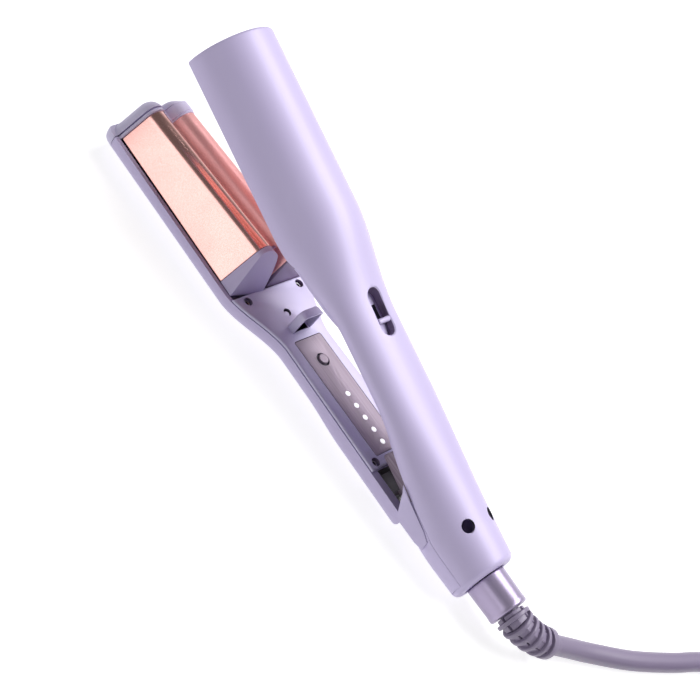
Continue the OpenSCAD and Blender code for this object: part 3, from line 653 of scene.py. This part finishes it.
def far_root(x, grow):
    "The far ridge where it runs on past the valley, with a side that goes down almost to the cover."
    top = [p for p in wave_points(x, grow, plate_foot) if p.y > 2.5]
    return top + [Vector((x, -1.5 - grow, 18.2)), Vector((x, -1.8 - grow, 16.6))]


# Its run towards the hinge has the same painted pink reflection and shade.
far_run = skin_of("far wave plate root", [far_root(x, 0) for x in (plate_end - 0.3, -117, far_end)],
    rim_height, copper_painted_pink, plate_t)
on_control(soften(far_run, 0.25, 3), "lower_wave_plate", sharp=50)

# %% [markdown]
# ## Plastic at both ends of the ridges
# The front cap closes the tub and the ridges in one moulding with a rounded front. Behind it a thin lip
# holds each plate. At the root, a block follows each ridge for a few millimetres and slopes down to the flat
# cover. A plane cuts the slope, and a bevel rounds it.

# %% The front cap: its front slopes back more on the far side
cap_edge = 5.6


def cap_ring(x, turn):
    bend = 1 - cos(turn)
    top = wave_points(x, 0.9 - cap_edge * bend, rim_z)
    low = control_curve(x, 2.8 * bend * bend, len(top) - 1)
    low = [Vector((p.x, p.y, max(bend * bend * 1.4, p.z))) for p in low]
    ring = low + list(reversed(top))
    for p in ring:
        p.x += 3.5 * smooth(-2, 12, p.y) * min(1, max(0, (tip_x + cap_edge - x) / cap_edge))
        if p.z > rim_z:
            p.z -= 1.4 * smooth(0, 9, p.y) * min(1, (p.z - rim_z) / 8)
    return ring


turns = [radians(a) for a in steps(90, 0, 14)]
cap_rings = [cap_ring(tip_x + cap_edge * (1 - sin(a)), a) for a in turns]
cap_rings += [cap_ring(tip_x + 5.7, 0.2)]
on_control(filled("front cap", cap_rings, pale_lavender), "tip_cap")

# %% The lips at the tip: a thin one on the near ridge, and a wider one on the far ridge
lip_foot = rim_z + 0.1
near_steps = ((-201.8, 0.3), (-201.6, 0.6), (-200.4, 0.6), (-200.2, 0.3))
near_lip = [near_points(x, grow, lip_foot) for x, grow in near_steps]
near_lip = filled("near plate lip", near_lip, pale_lavender)
far_steps = ((-202.2, 0.4), (-202, 0.7), (-197, 0.7), (-196.8, 0.4), (-196.6, 0.15), (-196.4, 0.15),
    (-196.3, 0.4), (-195.7, 0.4), (far_start, 0.1))
far_lip = [far_points(x, grow, lip_foot) + [Vector((x, 0, lip_foot))] for x, grow in far_steps]
far_lip = filled("far plate lip", far_lip, pale_lavender)
on_control(near_lip, "ridge_end_blocks")
on_control(far_lip, "ridge_end_blocks")


# %% The blocks at the root: each ridge has its own, with a groove between them
def sliced(made, spot, facing):
    "Cuts a bmesh with a plane, clears the side that the plane faces, and closes the cut."
    everything = list(made.verts) + list(made.edges) + list(made.faces)
    cut = bmesh.ops.bisect_plane(made, geom=everything, dist=0.0001, plane_co=spot, plane_no=facing,
        clear_outer=True)
    rim = [e for e in cut["geom_cut"] if isinstance(e, bmesh.types.BMEdge)]
    bmesh.ops.contextual_create(made, geom=rim)
    return made


def near_block(x):
    foot = rim_z + 0.3
    top = [p for p in wave_points(x, 0, foot) if p.y < -2.7]
    side = [(-5.6, foot), (-3.4, crest_z(x) - 6), (-2.5, crest_z(x) + 0.5)]
    return [Vector((x, y, z)) for y, z in side] + top


block_one = loft([near_block(x) for x in (plate_end + 0.2, -118, -114, -106)], capped=True)
block_one = solid("near root block", sliced(block_one, (-116, -2.8, 31), (0.905, -0.201, 0.374)), lavender)
soften(block_one, 0.9, 4, 30)
# The far root block is in a darker lavender: painted shade.
block_two = [far_root(x, 0) + [Vector((x, -1.8, plate_foot))] for x in (far_end + 0.15, -108)]
block_two = loft(block_two, capped=True)
block_two = solid("far root block", sliced(block_two, (-111, 0, face_z), (0.994, 0, 0.11)), painted_shade_lavender)
soften(block_two, 0.3, 3, 30)
core = [[Vector((x, p.y * 0.9 + 0.5, p.z - 1.6)) for p in far_root(x, -1.3)] + [Vector((x, 1, plate_foot))]
    for x in (plate_end + 0.1, far_end + 0.2)]
core = filled("far root core", core, lavender)
web = filled("plate end web", [[Vector((x, p.y, p.z - 2)) for p in wave_points(x, -1.4, rim_z + 2.4)]
    for x in (plate_end - 0.9, plate_end - 0.1)], lavender)
for piece in (block_one, block_two, core, web):
    on_control(piece, "ridge_end_blocks")
print("root blocks and lips made")

# %% [markdown]
# ## Inner cover, catch and controls
# The flat cover closes the tub behind the ramp. It has a recess for the brushed strip, four screw recesses,
# a small opening where a peg leaves a crescent, and the window of the catch, all lined with painted shade.
# Over the window stands the catch's hood, an arch closed at the back, with a dark sheet of painted shade inside.

# %% The inner cover
cover_x0, cover_x1 = ramp_end - 1.5, -16.2
strip_x, strip_len, strip_w = -82.5, 61, 17.6
button_x, button_r = -70.4, 2.35
lens_places = [-51.9 + 6.4 * i for i in range(5)]
screw_places = [(x, y) for x, half in ((plate_end + 13.6, 17), (cover_x1 - 3.3, 11.2)) for y in (-half, half)]
screw_sink, hole_r, lens_r = 2.4, 3.3, 1.25
hood_x0, hood_x1, hood_half, hood_top = -90.6, -86.4, 6.4, 26


def cover_outline(inset, z):
    across = steps(cover_x0 + inset, cover_x1 - inset, 48)
    return [Vector((x, inset - control_half(x), z)) for x in across] + \
        [Vector((x, control_half(x) - inset, z)) for x in reversed(across)]


cover_edge, cover_inset = 0.8, 0.35
cover_rings = [cover_outline(2.9, rim_z - 0.7), cover_outline(2.9, rim_z + 0.3)]
cover_rings += [cover_outline(cover_inset, rim_z + 0.3)]
cover_rings += [cover_outline(cover_inset + cover_edge * (1 - cosd(a)), face_z + cover_edge * (sind(a) - 1))
    for a in steps(0, 90, 5)]
cover = filled("inner cover", cover_rings, pale_lavender)


def rounded(low, high, radius, z0, z1, segments=8):
    "A plate with rounded corners."
    made = block((low[0], low[1], z0), (high[0], high[1], z1))
    upright = [e for e in made.edges if abs(e.verts[0].co.z - e.verts[1].co.z) > 1e-6]
    bmesh.ops.bevel(made, geom=upright, offset=radius, offset_type="OFFSET", affect="EDGES",
        segments=segments, profile=0.5, material=-1)
    return made


half_w = strip_w / 2
# The recess, the window, the small opening and the button hole are lined with near-black painted shade; the screw
# recesses get a darker lavender, also painted shade.
recess = rounded((strip_x, -half_w), (strip_x + strip_len, half_w), 1.1, face_z - 0.9, 20)
recess = solid("recess", recess, painted_shade)
window = solid("window", block((hood_x0 + 0.6, -4.4, 0), (hood_x1 - 0.2, 4.4, 20)), painted_shade)
peep_x, peep_y = plate_end + 24.4, -0.7
peep = rod(1.9, (peep_x, peep_y, 0), (peep_x, peep_y, 30))
cutters = [recess, window, solid("peep", peep, painted_shade)]
for x, y in screw_places:
    cutters.append(solid("screw recess", rod(2.1, (x, y, face_z - screw_sink), (x, y, 30)), painted_shade_lavender))
cutters.append(solid("button hole", rod(hole_r, (button_x, 0, 0), (button_x, 0, 13.5)), painted_shade))
carve(cover, *cutters)
on_control(soften(cover, 0.18, 2, 50), "control_inner_cover")
print("inner cover:", len(cover.data.polygons), "faces")

# %% Screws sunk in their recesses, and the peg that leaves a crescent in the small opening
for x, y in screw_places:
    head = rod(1.75, (x, y, face_z - screw_sink), (x, y, face_z - screw_sink + 0.8), 40)
    # The socket in each head is lined with near-black painted shade.
    socket = solid("socket", rod(1.15, (x, y, face_z - screw_sink + 0.1), (x, y, face_z), 6), painted_shade)
    head = solid("cover screw", head, steel)
    carve(head, socket)
    on_control(soften(head, 0.2, 2), "cover_screws")
peg_x, peg_y = peep_x + 0.55, peep_y - 0.5
peg = solid("peep peg", rod(1.4, (peg_x, peg_y, 5), (peg_x, peg_y, face_z - 0.3), 40), pale_lavender)
on_control(soften(peg, 0.3, 3))

# %% Hood of the catch: a rounded arch, open towards the hinge
def hood_ring(x, grow, corner):
    "An arch in the plane across the arm, with its foot just inside the cover."
    half, top = hood_half + grow, hood_top + grow
    arch = [(half, face_z - 0.5), (half, face_z + 2)] + arc(half - corner, top - corner, corner, 0, 90, 10)
    return [Vector((x, y, z)) for y, z in arch + [(-y, z) for y, z in reversed(arch)]]


hood_rings = [hood_ring(hood_x0 + 1 - cosd(a), sind(a) - 1, 2.9) for a in steps(10, 90, 6)]
hood_rings += [hood_ring(hood_x1, 0, 2.2), hood_ring(hood_x1, -1.1, 1.1)]
hood_rings += [hood_ring(hood_x0 + 0.8, -1.6, 1.1)]
hood = filled("catch hood", hood_rings, pale_lavender)
on_control(soften(hood, 0.3, 3, 50), "catch_socket")
# A thin near-black sheet inside the hood, at its closed back: painted shade.
inside = filled("hood inside", [hood_ring(x, -1.7, 1) for x in (hood_x0 + 0.85, hood_x0 + 0.95)], painted_shade)
on_control(inside, "catch_socket")

# %% The brushed strip, its button and its lenses
seat = 0.3
strip = rounded((strip_x + seat, seat - half_w), (strip_x + strip_len - seat, half_w - seat), 0.9,
    face_z - 0.6, face_z + 0.05)
strip = solid("brushed strip", strip, mauve)
# The holes are lined with near-black painted shade, which shows as the crescent round the button.
holes = [solid("button hole", rod(hole_r, (button_x, 0, 0), (button_x, 0, 30), 64), painted_shade)]
holes += [solid("lens hole", rod(lens_r + 0.05, (x, 0, 0), (x, 0, 30), 40), painted_shade) for x in lens_places]
carve(strip, *holes)
on_control(soften(strip, 0.15, 2, 50), "control_strip")


def stacked(x, y, z, count, profile):
    "Rings round an upright axis; the profile gives each one's radius and height."
    return [[Vector((x + r * cos(t), y + r * sin(t), z + h)) for t in circle(count)]
        for r, h in profile]


dome = ((button_r, -2.5), (button_r, -0.1), (button_r - 0.08, 0.05), (button_r - 0.25, 0.12), (1.2, 0.12),
    (0.1, 0.12))
button = filled("power button", stacked(button_x - 0.3, 0.9, face_z, 48, dome), mauve)
finish_piece(button, control_place, "power_key", "power_button")
for x in lens_places:
    cap = ((lens_r, -3), (lens_r, 0.05), (1.1, 0.17), (0.6, 0.22), (0.05, 0.23))
    on_control(filled("light lens", stacked(x, 0, face_z, 32, cap), lens), "led_lenses")
print("controls: strip, button and", len(lens_places), "lenses")

# %% [markdown]
# ## The main arm
# The main arm changes from a round barrel through a neck to a flat handle, and swells again to a round base
# at the hinge. Three sizes of its section blend along two S-curves. Its lower edge follows the seam, which
# arches a little under the neck, and the inner cover and the base cover close it.

# %% Sizes of the main arm, closed
barrel_x, barrel_r, barrel_z = tip_x + 3, 21.2, 26.4
neck_a, neck_b = plate_end - 1.8, plate_end + 47.5
handle_half, handle_up, handle_low, handle_z = 15.8, 8.8, 9.2, 30.9
flare_a, flare_b = -42.7, 29.8
base_x, base_z, base_r = 20, 22.6, 17.2
end_x, end_z, end_r = 43.2, 26, 15
skin_end = end_x - 2.2
edge_z, seam_z, floor_z = 22, 23, 21.7


def in_base(x):
    return max(0, (x - base_x) / (end_x - base_x))


def sized(x, barrel, handle, base):
    return lerp(lerp(barrel, handle, smooth(neck_a, neck_b, x)), base, smooth(flare_a, flare_b, x))


def reach(handle):
    "One size of the section along the arm: only in the handle is it not round."
    return lambda x: sized(x, barrel_r, handle, lerp(base_r, end_r, in_base(x)))


main_half, main_up, main_low = reach(handle_half), reach(handle_up), reach(handle_low)


def main_z(x):
    return sized(x, barrel_z, handle_z, lerp(base_z, end_z, in_base(x)))


def main_height(x):
    "Height of the middle of the arm, also for points a little past its ends."
    return main_z(min(end_x, max(barrel_x, x)))


def seam_h(x):
    arch = 3 * smooth(-113, -103, x) * (1 - smooth(-92, -70, x))
    return lerp(lerp(edge_z, seam_z, smooth(neck_a, neck_b, x)) + arch - main_z(x), 0, smooth(5, 25, x))


def main_point(x, t, inset):
    lean = open_angle * in_base(x)
    y = (main_half(x) - inset) * cos(t)
    z = ((main_up(x) if sin(t) > 0 else main_low(x)) - inset) * sin(t)
    return Vector((x - z * sin(lean), y, main_z(x) + z * cos(lean)))


def seam_t(x, inset):
    return asin(max(-0.9, seam_h(x) / (main_low(x) - inset)))


def upper_arc(x, inset, n=96):
    t0 = seam_t(x, inset)
    return [main_point(x, lerp(t0, pi - t0, i / n), inset) for i in range(n + 1)]


def lower_arc(x, inset, n=48):
    t0 = seam_t(x, inset) - radians(0.6)
    return [main_point(x, lerp(t0, -pi - t0, i / n), inset) for i in range(n + 1)]


# %% The long outer shell, with a rounded edge at the tip
tip_edge = 1.5
turns = [radians(a) for a in steps(80, 0, 6)]
skin = [upper_arc(barrel_x + tip_edge * (1 - sin(a)), tip_edge * (1 - cos(a))) for a in turns]
skin += [upper_arc(x, 0) for x in steps(-200, neck_a, 12) + steps(neck_a + 1.6, neck_b, 36)]
skin += [upper_arc(x, 0) for x in steps(neck_b + 4, flare_a, 6) + steps(flare_a + 2, skin_end, 48)]
housing = skin_of("main housing", skin, main_height, lavender, wall)
print("main housing:", len(housing.data.polygons), "faces")

# %% Its openings: the slot of the lock, and two round ones in the base
slot_x, slot_len, slot_w = -75.6, 21.6, 8


def slot_ring(grow, rise):
    "The outline of the slot, laid on the skin of the handle and raised above it."
    run, r = (slot_len - slot_w) / 2, slot_w / 2 + grow
    ring = []
    for end, turns in ((slot_x + run, steps(-90, 90, 20)), (slot_x - run, steps(90, 270, 20))):
        for a in turns:
            x, y = end + r * cosd(a), r * sind(a)
            top = main_z(x) + main_up(x) * sqrt(1 - (y / main_half(x)) ** 2)
            ring.append(Vector((x, y, top + rise)))
    return ring


# The slot's walls take a darker lavender from the cutter: painted shade.
carve(housing, filled("slot", [slot_ring(0, -4), slot_ring(0, 3)], painted_shade_lavender),
    filled("slot flare", [slot_ring(0, -0.5), slot_ring(1.1, 0.6)], lavender))
# The frame under the slot is in the same darker lavender: painted shade.
frame_foot = 35.5
frame_rings = [slot_ring(grow, -1.9) for grow in (0, 1)]
frame_rings += [[Vector((p.x, p.y, frame_foot)) for p in slot_ring(grow, 0)] for grow in (1, 0)]
slot_frame = loft(frame_rings + frame_rings[:1])
bmesh.ops.remove_doubles(slot_frame, verts=slot_frame.verts, dist=0.0001)
slot_frame = solid("slot frame", slot_frame, painted_shade_lavender)
on_main(slot_frame, "main_outer_shell")


def base_hole(side, r0, r1, z0, z1):
    "A round cutter that stands square on the base, 28.7 degrees to one side."
    made = bmesh.new()
    bmesh.ops.create_cone(made, cap_ends=True, segments=64, radius1=r0, radius2=r1, depth=z1 - z0)
    bmesh.ops.translate(made, verts=made.verts, vec=(0, 0, (z0 + z1) / 2))
    bmesh.ops.rotate(made, verts=made.verts, matrix=Matrix.Rotation(radians(-side * 28.7), 3, "X"))
    bmesh.ops.translate(made, verts=made.verts, vec=(base_x, 0, main_z(base_x)))
    return made


# The round openings in the base are lined with near-black painted shade.
for side in (-1, 1):
    carve(housing, solid("base hole", base_hole(side, 3, 3, 8, 24), painted_shade),
        solid("base hole flare", base_hole(side, 3, 4.4, base_r - 0.55, base_r + 0.85), lavender))
print("openings cut:", len(housing.data.polygons), "faces")

# %% The end wall of the barrel, which the ridges pass
wall_ring = [Vector((0, p.y, p.z)) for p in upper_arc(barrel_x + 2, 1.7, 96)]
disc = [[p + Vector((x, 0, 0)) for p in wall_ring] for x in (barrel_x + 0.35, barrel_x + 2)]
disc = filled("barrel end wall", disc, lavender)
ridges = filled("ridge room", [wave_points(x, 2.6, 10) for x in (barrel_x - 2, barrel_x + 4)], lavender)
carve(disc, ridges)
soften(disc, 0.3, 2, 50)
on_main(housing, "main_outer_shell", sharp=40)
on_main(disc, "main_outer_shell")

# %% [markdown]
# ## Base, hinge block and the parts inside the handle
# The base cover meets the shell on a seam line, with a flat cheek at each side and a domed end wall. The
# hinge block below the handle carries the pin. The lock slider's knob crosses the whole slot, on two legs.

# %% Base cover
belly = [lower_arc(x, 0) for x in steps(1, skin_end, 56)]
belly = skin_of("base cover", belly, main_height, lavender, wall)
hinge_gap = solid("hinge gap", rod(8, (0, -40, hinge_z), (0, 40, hinge_z), 96), lavender)
block_gap = solid("block gap", block((-3, -11.8, 0), (6.3, 11.8, 40)), lavender)
carve(belly, hinge_gap, block_gap)
on_main(soften(belly, 0.3, 3, 50), "base_cover")
cheek = [(-7, 23.6), (-3.9, 21.2), (0.2, 16.6), (4.2, 12.2), (6, 12.2), (17, 14.9), (21, 17), (19, 21.5),
    (14, 22.4), (2, 22.8)]
for side in (-1, 1):
    plate = [[Vector((x, side * y, z)) for x, z in cheek] for y in (16.9, 17.4)]
    plate = filled("base cheek", plate, lavender)
    on_main(soften(plate, 0.25, 3, 30), "base_cover")

# %% End wall of the base, square to the swivel's axis
exit_x, exit_z = 45.975, 15.4454
swivel_place = Matrix.Translation((hinge.x, 0, exit_z / 1000)) @ to_metres


def lathe(name, material, profile, count=96):
    "Turns a list of (x, radius) pairs about the swivel's axis; the first and last pairs close the solid."
    rings = [[Vector((x, r * cos(t), r * sin(t))) for t in circle(count)] for x, r in profile + profile[:1]]
    made = loft(rings)
    bmesh.ops.remove_doubles(made, verts=made.verts, dist=0.0001)
    return solid(name, made, material)


def round_edge(x, r, radius, start, end, n=6):
    "Points of a rounded corner about (x, r), between two angles in degrees."
    return [(x + radius * cosd(a), r + radius * sind(a)) for a in steps(start, end, n)]


wall_profile = [(exit_x - 2.8, 6.2), (exit_x - 2.8, 13.2)]
wall_profile += round_edge(exit_x - 2.5, end_r - 2.75, 2.8, 84, 0, 12)
wall_profile += round_edge(exit_x, 10.4, 0.3, 0, -90, 3) + [(exit_x - 1, 10.1), (exit_x - 1, 6.2)]
end_wall = lathe("base end wall", lavender, wall_profile)
finish_piece(end_wall, swivel_place, "main_arm", "base_ring")

# %% Hinge block, its knuckle, and the inner cover of the handle
block_x, block_z, block_half = -21.3, face_z + 0.8, 11.5
body = rounded((block_x, -block_half), (6, block_half), 1.2, block_z, seam_z - 0.4, 4)
# The hinge block is in a darker mauve: painted shade.
body = solid("hinge block", body, painted_shade_mauve)
carve(body, solid("tail room", rod(7.8, (0, -20, hinge_z), (0, 20, hinge_z), 96), painted_shade_mauve))
soften(body, 0.4, 3, 40)
knuckle = solid("hinge knuckle", rod(5.2, (0, -6, hinge_z), (0, 6, hinge_z), 64), painted_shade_mauve)
carve(knuckle, solid("knuckle stem", block((-5.2, -6, hinge_z), (5.2, 6, seam_z - 2)), mauve), mode="UNION")
carve(knuckle, solid("pin bore", rod(2.02, (0, -9, hinge_z), (0, 9, hinge_z), 48), mauve))
soften(knuckle, 0.4, 3, 40)
on_main(body, "hinge_block")
on_main(knuckle, "hinge_block")


def bowl_ring(x, n=48):
    half = main_point(x, seam_t(x, 0), 0).y - 0.3
    top = main_z(x) + seam_h(x) - 0.3
    depth = max(0.8, top - floor_z)
    return [Vector((x, half * power(cos(t), 0.7), top - depth * max(0, sin(t)) ** 0.7))
        for t in steps(0, pi, n)]


bowl = [bowl_ring(x) for x in steps(cover_x0 + 4, block_x - 0.3, 40)]
bowl = filled("handle inner cover", bowl, lavender)
hook_x, hook_end = hood_x1 + 0.5, hood_x1 + 5
# The room for the hook is lined with near-black painted shade.
room = solid("hook room", block((hood_x0 - 1.8, -7, 0), (hook_end + 0.9, 7, 40)), painted_shade)
carve(bowl, room)
on_main(soften(bowl, 0.25, 2, 60), "main_inner_cover")

# %% Lock slider: plate, hook, and the knob in the slot
knob_x, knob_top, hook_w = -71.9, 38.6, 7
slide = block((hook_x, -hook_w / 2, 33.4), (knob_x + 9, hook_w / 2, 35.2))
slide = solid("lock slide", slide, lavender)
# The opening in the slide is lined with near-black painted shade.
carve(slide, solid("slide opening", block((hook_x + 6, -3, 30), (knob_x - 1.5, 3, 40)), painted_shade))
stem = hook_end - 1.8
side_view = [(hook_end, 34), (stem, 34), (stem, 20.6), (hook_x, 19.8), (hook_x + 0.3, 17.6),
    (hook_x + 1.8, 15), (hook_end - 0.8, 15), (hook_end, 16.6)]
hook = [[Vector((x, y, z)) for x, z in side_view] for y in (-hook_w / 2, hook_w / 2)]
hook = filled("lock hook", hook, lavender)
soften(hook, 0.4, 3, 20)
finish_piece(slide, main_place, "lock", "lock_slider")
finish_piece(hook, main_place, "lock", "lock_slider")
bar = [[Vector((knob_x + r * cos(t), y, knob_top - 0.1 + r * sin(t))) for t in circle(32)]
    for y, r in ((-3.8, 0.7), (-3.65, 1.0), (-3.35, 1.2), (3.35, 1.2), (3.65, 1.0), (3.8, 0.7))]
bar = filled("lock knob", bar, lavender)
finish_piece(bar, main_place, "lock", "lock_slider")
for y in (-1.6, 1.6):
    leg = solid("knob leg", block((knob_x - 1, y - 0.5, 35), (knob_x + 1, y + 0.5, knob_top)), lavender)
    soften(leg, 0.15)
    finish_piece(leg, main_place, "lock", "lock_slider")

# %% The upper plate mates with the ridges of the lower one
upper = [wave_points(x, plate_gap, edge_z + 0.4) for x in steps(plate_x + 0.5, plate_end, 8)]
upper = skin_of("upper wave plate", upper, lambda x: 0, copper)
thick = upper.modifiers.new("wall", "SOLIDIFY")
thick.thickness, thick.offset = plate_t, 1
settle(upper)
on_main(soften(upper, 0.2, 2), "upper_wave_plate", sharp=50)
print("main arm pieces are made")

# %% [markdown]
# ## Swivel collar, strain relief and cord
# The collar is turned round the swivel's axis. The strain relief is a soft sleeve of rings on a bent line,
# with short webs between each pair of rings and windows between the webs. The cord follows the route of the
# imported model: it comes down to the table, and its spare length lies coiled out of sight.

# %% The collar
collar_x, collar_r = exit_x + 0.6, 9.2
collar_end = collar_x + 16.9
profile = [(collar_x, 5.3)] + round_edge(collar_x + 0.5, collar_r - 0.5, 0.5, 180, 90, 4)
profile += [(collar_end - 2.6, collar_r - 0.25), (collar_end - 2.3, collar_r - 0.1)]
profile += round_edge(collar_end - 1.1, collar_r - 1.25, 1.1, 80, 0, 8)
profile += [(collar_end - 0.2, 6.2), (collar_end - 1.2, 5.6), (collar_end - 1.2, 5.3)]
collar = lathe("cord collar", pearl, profile, 128)
finish_piece(collar, swivel_place, "swivel", "cord_collar")


# %% Curves through chosen points, and frames that don't twist
def curve_at(p0, p1, p2, p3, t):
    square, cube = 2 * p0 - 5 * p1 + 4 * p2 - p3, 3 * p1 - 3 * p2 + p3 - p0
    return 0.5 * (2 * p1 + (p2 - p0) * t + square * t * t + cube * t ** 3)


def curve(route, parts):
    points = [Vector(p) for p in route]
    last = len(points) - 1
    made = [curve_at(points[max(0, i - 1)], points[i], points[i + 1], points[min(last, i + 2)], k / parts)
        for i in range(last) for k in range(parts)]
    return made + [points[last]]


def stand(point, run, side, over):
    "A place whose X axis runs along a line."
    return Matrix.Translation(point) @ Matrix((run, side, over)).transposed().to_4x4()


def frames(line):
    made = []
    for i, point in enumerate(line):
        run = (line[min(len(line) - 1, i + 1)] - line[max(0, i - 1)]).normalized()
        side = Vector((0, 0, 1)).cross(run).normalized()
        made.append((point, run, side, run.cross(side)))
    return made


def tube(line, radius, sides):
    rings = []
    for point, run, side, over in frames(line):
        rings.append([point + radius * (cos(t) * side + sin(t) * over) for t in circle(sides)])
    return loft(rings, capped=True)


# %% Strain relief
relief_route = [(62, 0, 15.4), (67.4, 0, 15.3), (70.6, 1.2, 14.7), (76.4, 5.4, 12.8), (81.2, 12, 10.4),
    (84.6, 19, 8.4)]
core_r, rings = 4.6, 6
line = curve(relief_route, 12)
whole = [0]
for a, b in zip(line, line[1:]):
    whole.append(whole[-1] + (b - a).length)


def on_line(distance):
    "Point, direction and two sides of the relief's line at a distance along it."
    at = next((i for i, d in enumerate(whole) if d >= distance), len(line) - 1)
    return frames(line)[at]


core = solid("relief core", tube(line, core_r, 32), soft)
finish_piece(core, control_place, "main_arm", "strain_relief")


def ring_at(i):
    "How far along the relief's line each ring sits; they stand a little wider apart where it bends."
    return 4.2 + 3.1 * i + 0.22 * i * i if i >= 0 else 1.8


for i in range(rings):
    thick = 0.95 if i < rings - 1 else 1.7
    middle_at = ring_at(i)
    point, run, side, over = on_line(middle_at)
    r = lerp(7.9, 7, i / (rings - 1))
    edge = [(-thick, core_r)] + round_edge(-thick + 0.5, r - 0.5, 0.5, 180, 90, 4) + \
        round_edge(thick - 0.5, r - 0.5, 0.5, 90, 0, 4) + [(thick, core_r)]
    ring = lathe("relief ring", soft, edge, 64)
    ring.data.transform(stand(point, run, side, over))
    finish_piece(ring, control_place, "main_arm", "strain_relief")
    point, run, side, over = on_line((middle_at + ring_at(i - 1)) / 2)
    webs = bmesh.new()
    for corner in (20, 56, 110, 146, 200, 236, 290, 326):
        across = cosd(corner) * side + sind(corner) * over
        corners = bmesh.ops.create_cube(webs, size=1)["verts"]
        bmesh.ops.scale(webs, verts=corners, vec=(middle_at - ring_at(i - 1) - 0.4, 2.6, 4.6))
        bmesh.ops.translate(webs, verts=corners, vec=(0, r - 3, 0))
        bmesh.ops.transform(webs, verts=corners, matrix=stand(point, run, across, run.cross(across)))
    webs = solid("relief webs", webs, soft)
    soften(webs, 0.4, 3)
    finish_piece(webs, control_place, "main_arm", "strain_relief")

# %% The cord and its coil
cord_d = 9
lead_route = [(84.8, 19.4, 8.3), (90, 29, 6.2), (96, 38.6, 5), (109, 58.5, 4.7), (120.5, 81, 4.7), (127.5, 97, 4.8),
    (137.9, 114.1, 4.9), (153.3, 128.3, 4.9), (172, 137.7, 5), (192.6, 141.4, 5.1), (213.4, 139.3, 5.2),
    (231.9, 131.9, 5.2), (245.7, 122, 5.3), (255, 111.6, 5.4), (260.7, 102.7, 5.4)]
coil_centre, coil_angle = Vector((208, 74, 5.4)), 28.1
coil_r, coil_pitch, layer_step = 60, 9.7, 9.8
turns_in, turns_climb, turns_out, turns_tail, tail_out, plug_z = 2.25, 0.5, 2.23, 1 / 3, 11, 6.2
coil_turns = turns_in + turns_climb + turns_out
coil_inner = coil_r - turns_in * coil_pitch


def coil_point(n):
    if n < turns_in:
        radius = coil_r - n * coil_pitch
    elif n < turns_in + turns_climb:
        u = n - turns_in
        radius = coil_inner - coil_pitch * (u - u * u / turns_climb)
    elif n < coil_turns:
        radius = coil_inner + (n - turns_in - turns_climb) * coil_pitch
    else:
        radius = coil_inner + turns_out * coil_pitch
        radius += tail_out * smooth(0, 0.7, (n - coil_turns) / turns_tail)
    if n < coil_turns:
        height = layer_step * min(1, max(0, (n - turns_in) / turns_climb))
    else:
        height = lerp(layer_step, plug_z - coil_centre.z, smooth(0.45, 1, (n - coil_turns) / turns_tail))
    turn = radians(coil_angle - 360 * n)
    return coil_centre + Vector((radius * cos(turn), radius * sin(turn), height))


loop_parts = 36
coil = [coil_point(i / loop_parts) for i in range(1, round((coil_turns + turns_tail) * loop_parts) + 1)]
tail_angle = radians(coil_angle - 360 * (coil_turns + turns_tail))
tail_run = Vector((sin(tail_angle), -cos(tail_angle), 0))
plug_at = coil[-1] + cord_d * tail_run
route = curve(lead_route, 4) + coil + [plug_at]
cord = solid("cord", tube(route, cord_d / 2, 28), soft)
finish_piece(cord, control_place, "main_arm", "cord_lead", "cord_coil")

# %% The tie round the coil, and a plain plug with two round pins
tie_t, tie_reach = 0.8, 15.4
tie_half = (coil_centre.z + layer_step + cord_d / 2 + tie_t) / 2
strap = rounded((-tie_reach, -tie_half), (tie_reach, tie_half), 4.2, -4, 4, 8)
strap = solid("coil tie", strap, dark_plastic)
tie_room = rounded((tie_t - tie_reach, tie_t - tie_half), (tie_reach - tie_t, tie_half - tie_t), 3.6, -9, 9, 8)
carve(strap, solid("tie room", tie_room, dark_plastic))
soften(strap, 0.2)
tie_at = (coil_centre.x, coil_centre.y - 62.6 + tie_reach, tie_half + 0.1)
strap.data.transform(Matrix.Translation(tie_at) @ Matrix(((0, 0, 1), (1, 0, 0), (0, 1, 0))).to_4x4())
finish_piece(strap, control_place, "main_arm", "cord_tie")
plug_turn = Matrix.Rotation(atan2(tail_run.y, tail_run.x), 4, "Z")
plug_place = control_place @ Matrix.Translation(plug_at) @ plug_turn
sections = [(0, 4.9, 4.9), (0.5, 5.6, 5.6), (6, 5.6, 5.6), (14, 7.5, 5.8), (22, 11.6, 5.9), (26, 12.7, 6),
    (32.6, 12.9, 6), (33.6, 12.5, 5.6), (34, 11.6, 4.8)]
plug = [[Vector((x, a * power(cos(t), 0.8), b * power(sin(t), 0.8))) for t in circle(64)]
    for x, a, b in sections]
plug = filled("mains plug", plug, soft)
finish_piece(plug, plug_place, "main_arm", "plug_body")
pin_side, pin_r = 9.3, 2
for side in (-1, 1):
    pin = [[Vector((x, side * pin_side + r * cos(t), r * sin(t))) for t in circle(40)]
        for x, r in ((33, pin_r), (51.6, pin_r), (52.6, 1.6), (53, 0.9))]
    pin = filled("mains pin", pin, brass)
    finish_piece(pin, plug_place, "main_arm", "plug_pins")

# %% [markdown]
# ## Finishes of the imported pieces
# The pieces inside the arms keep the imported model's own meshes, and each takes the finish that its record
# names. The visible ones are the hinge pin and its springs, the screws and the spindle in the swivel.

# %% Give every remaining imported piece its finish
wanted = {part["node"]: part["material_slot"] for part in frame["record"]["subparts"]}
kept = []
for name, obj in frame["nodes"].items():
    if obj.hide_render:
        continue
    for index in range(max(1, len(obj.material_slots))):
        if not obj.material_slots:
            obj.data.materials.append(finishes[wanted[name]])
        obj.material_slots[index].material = finishes[wanted[name]]
    kept.append(name)
print("packed pieces shown:", ", ".join(kept))
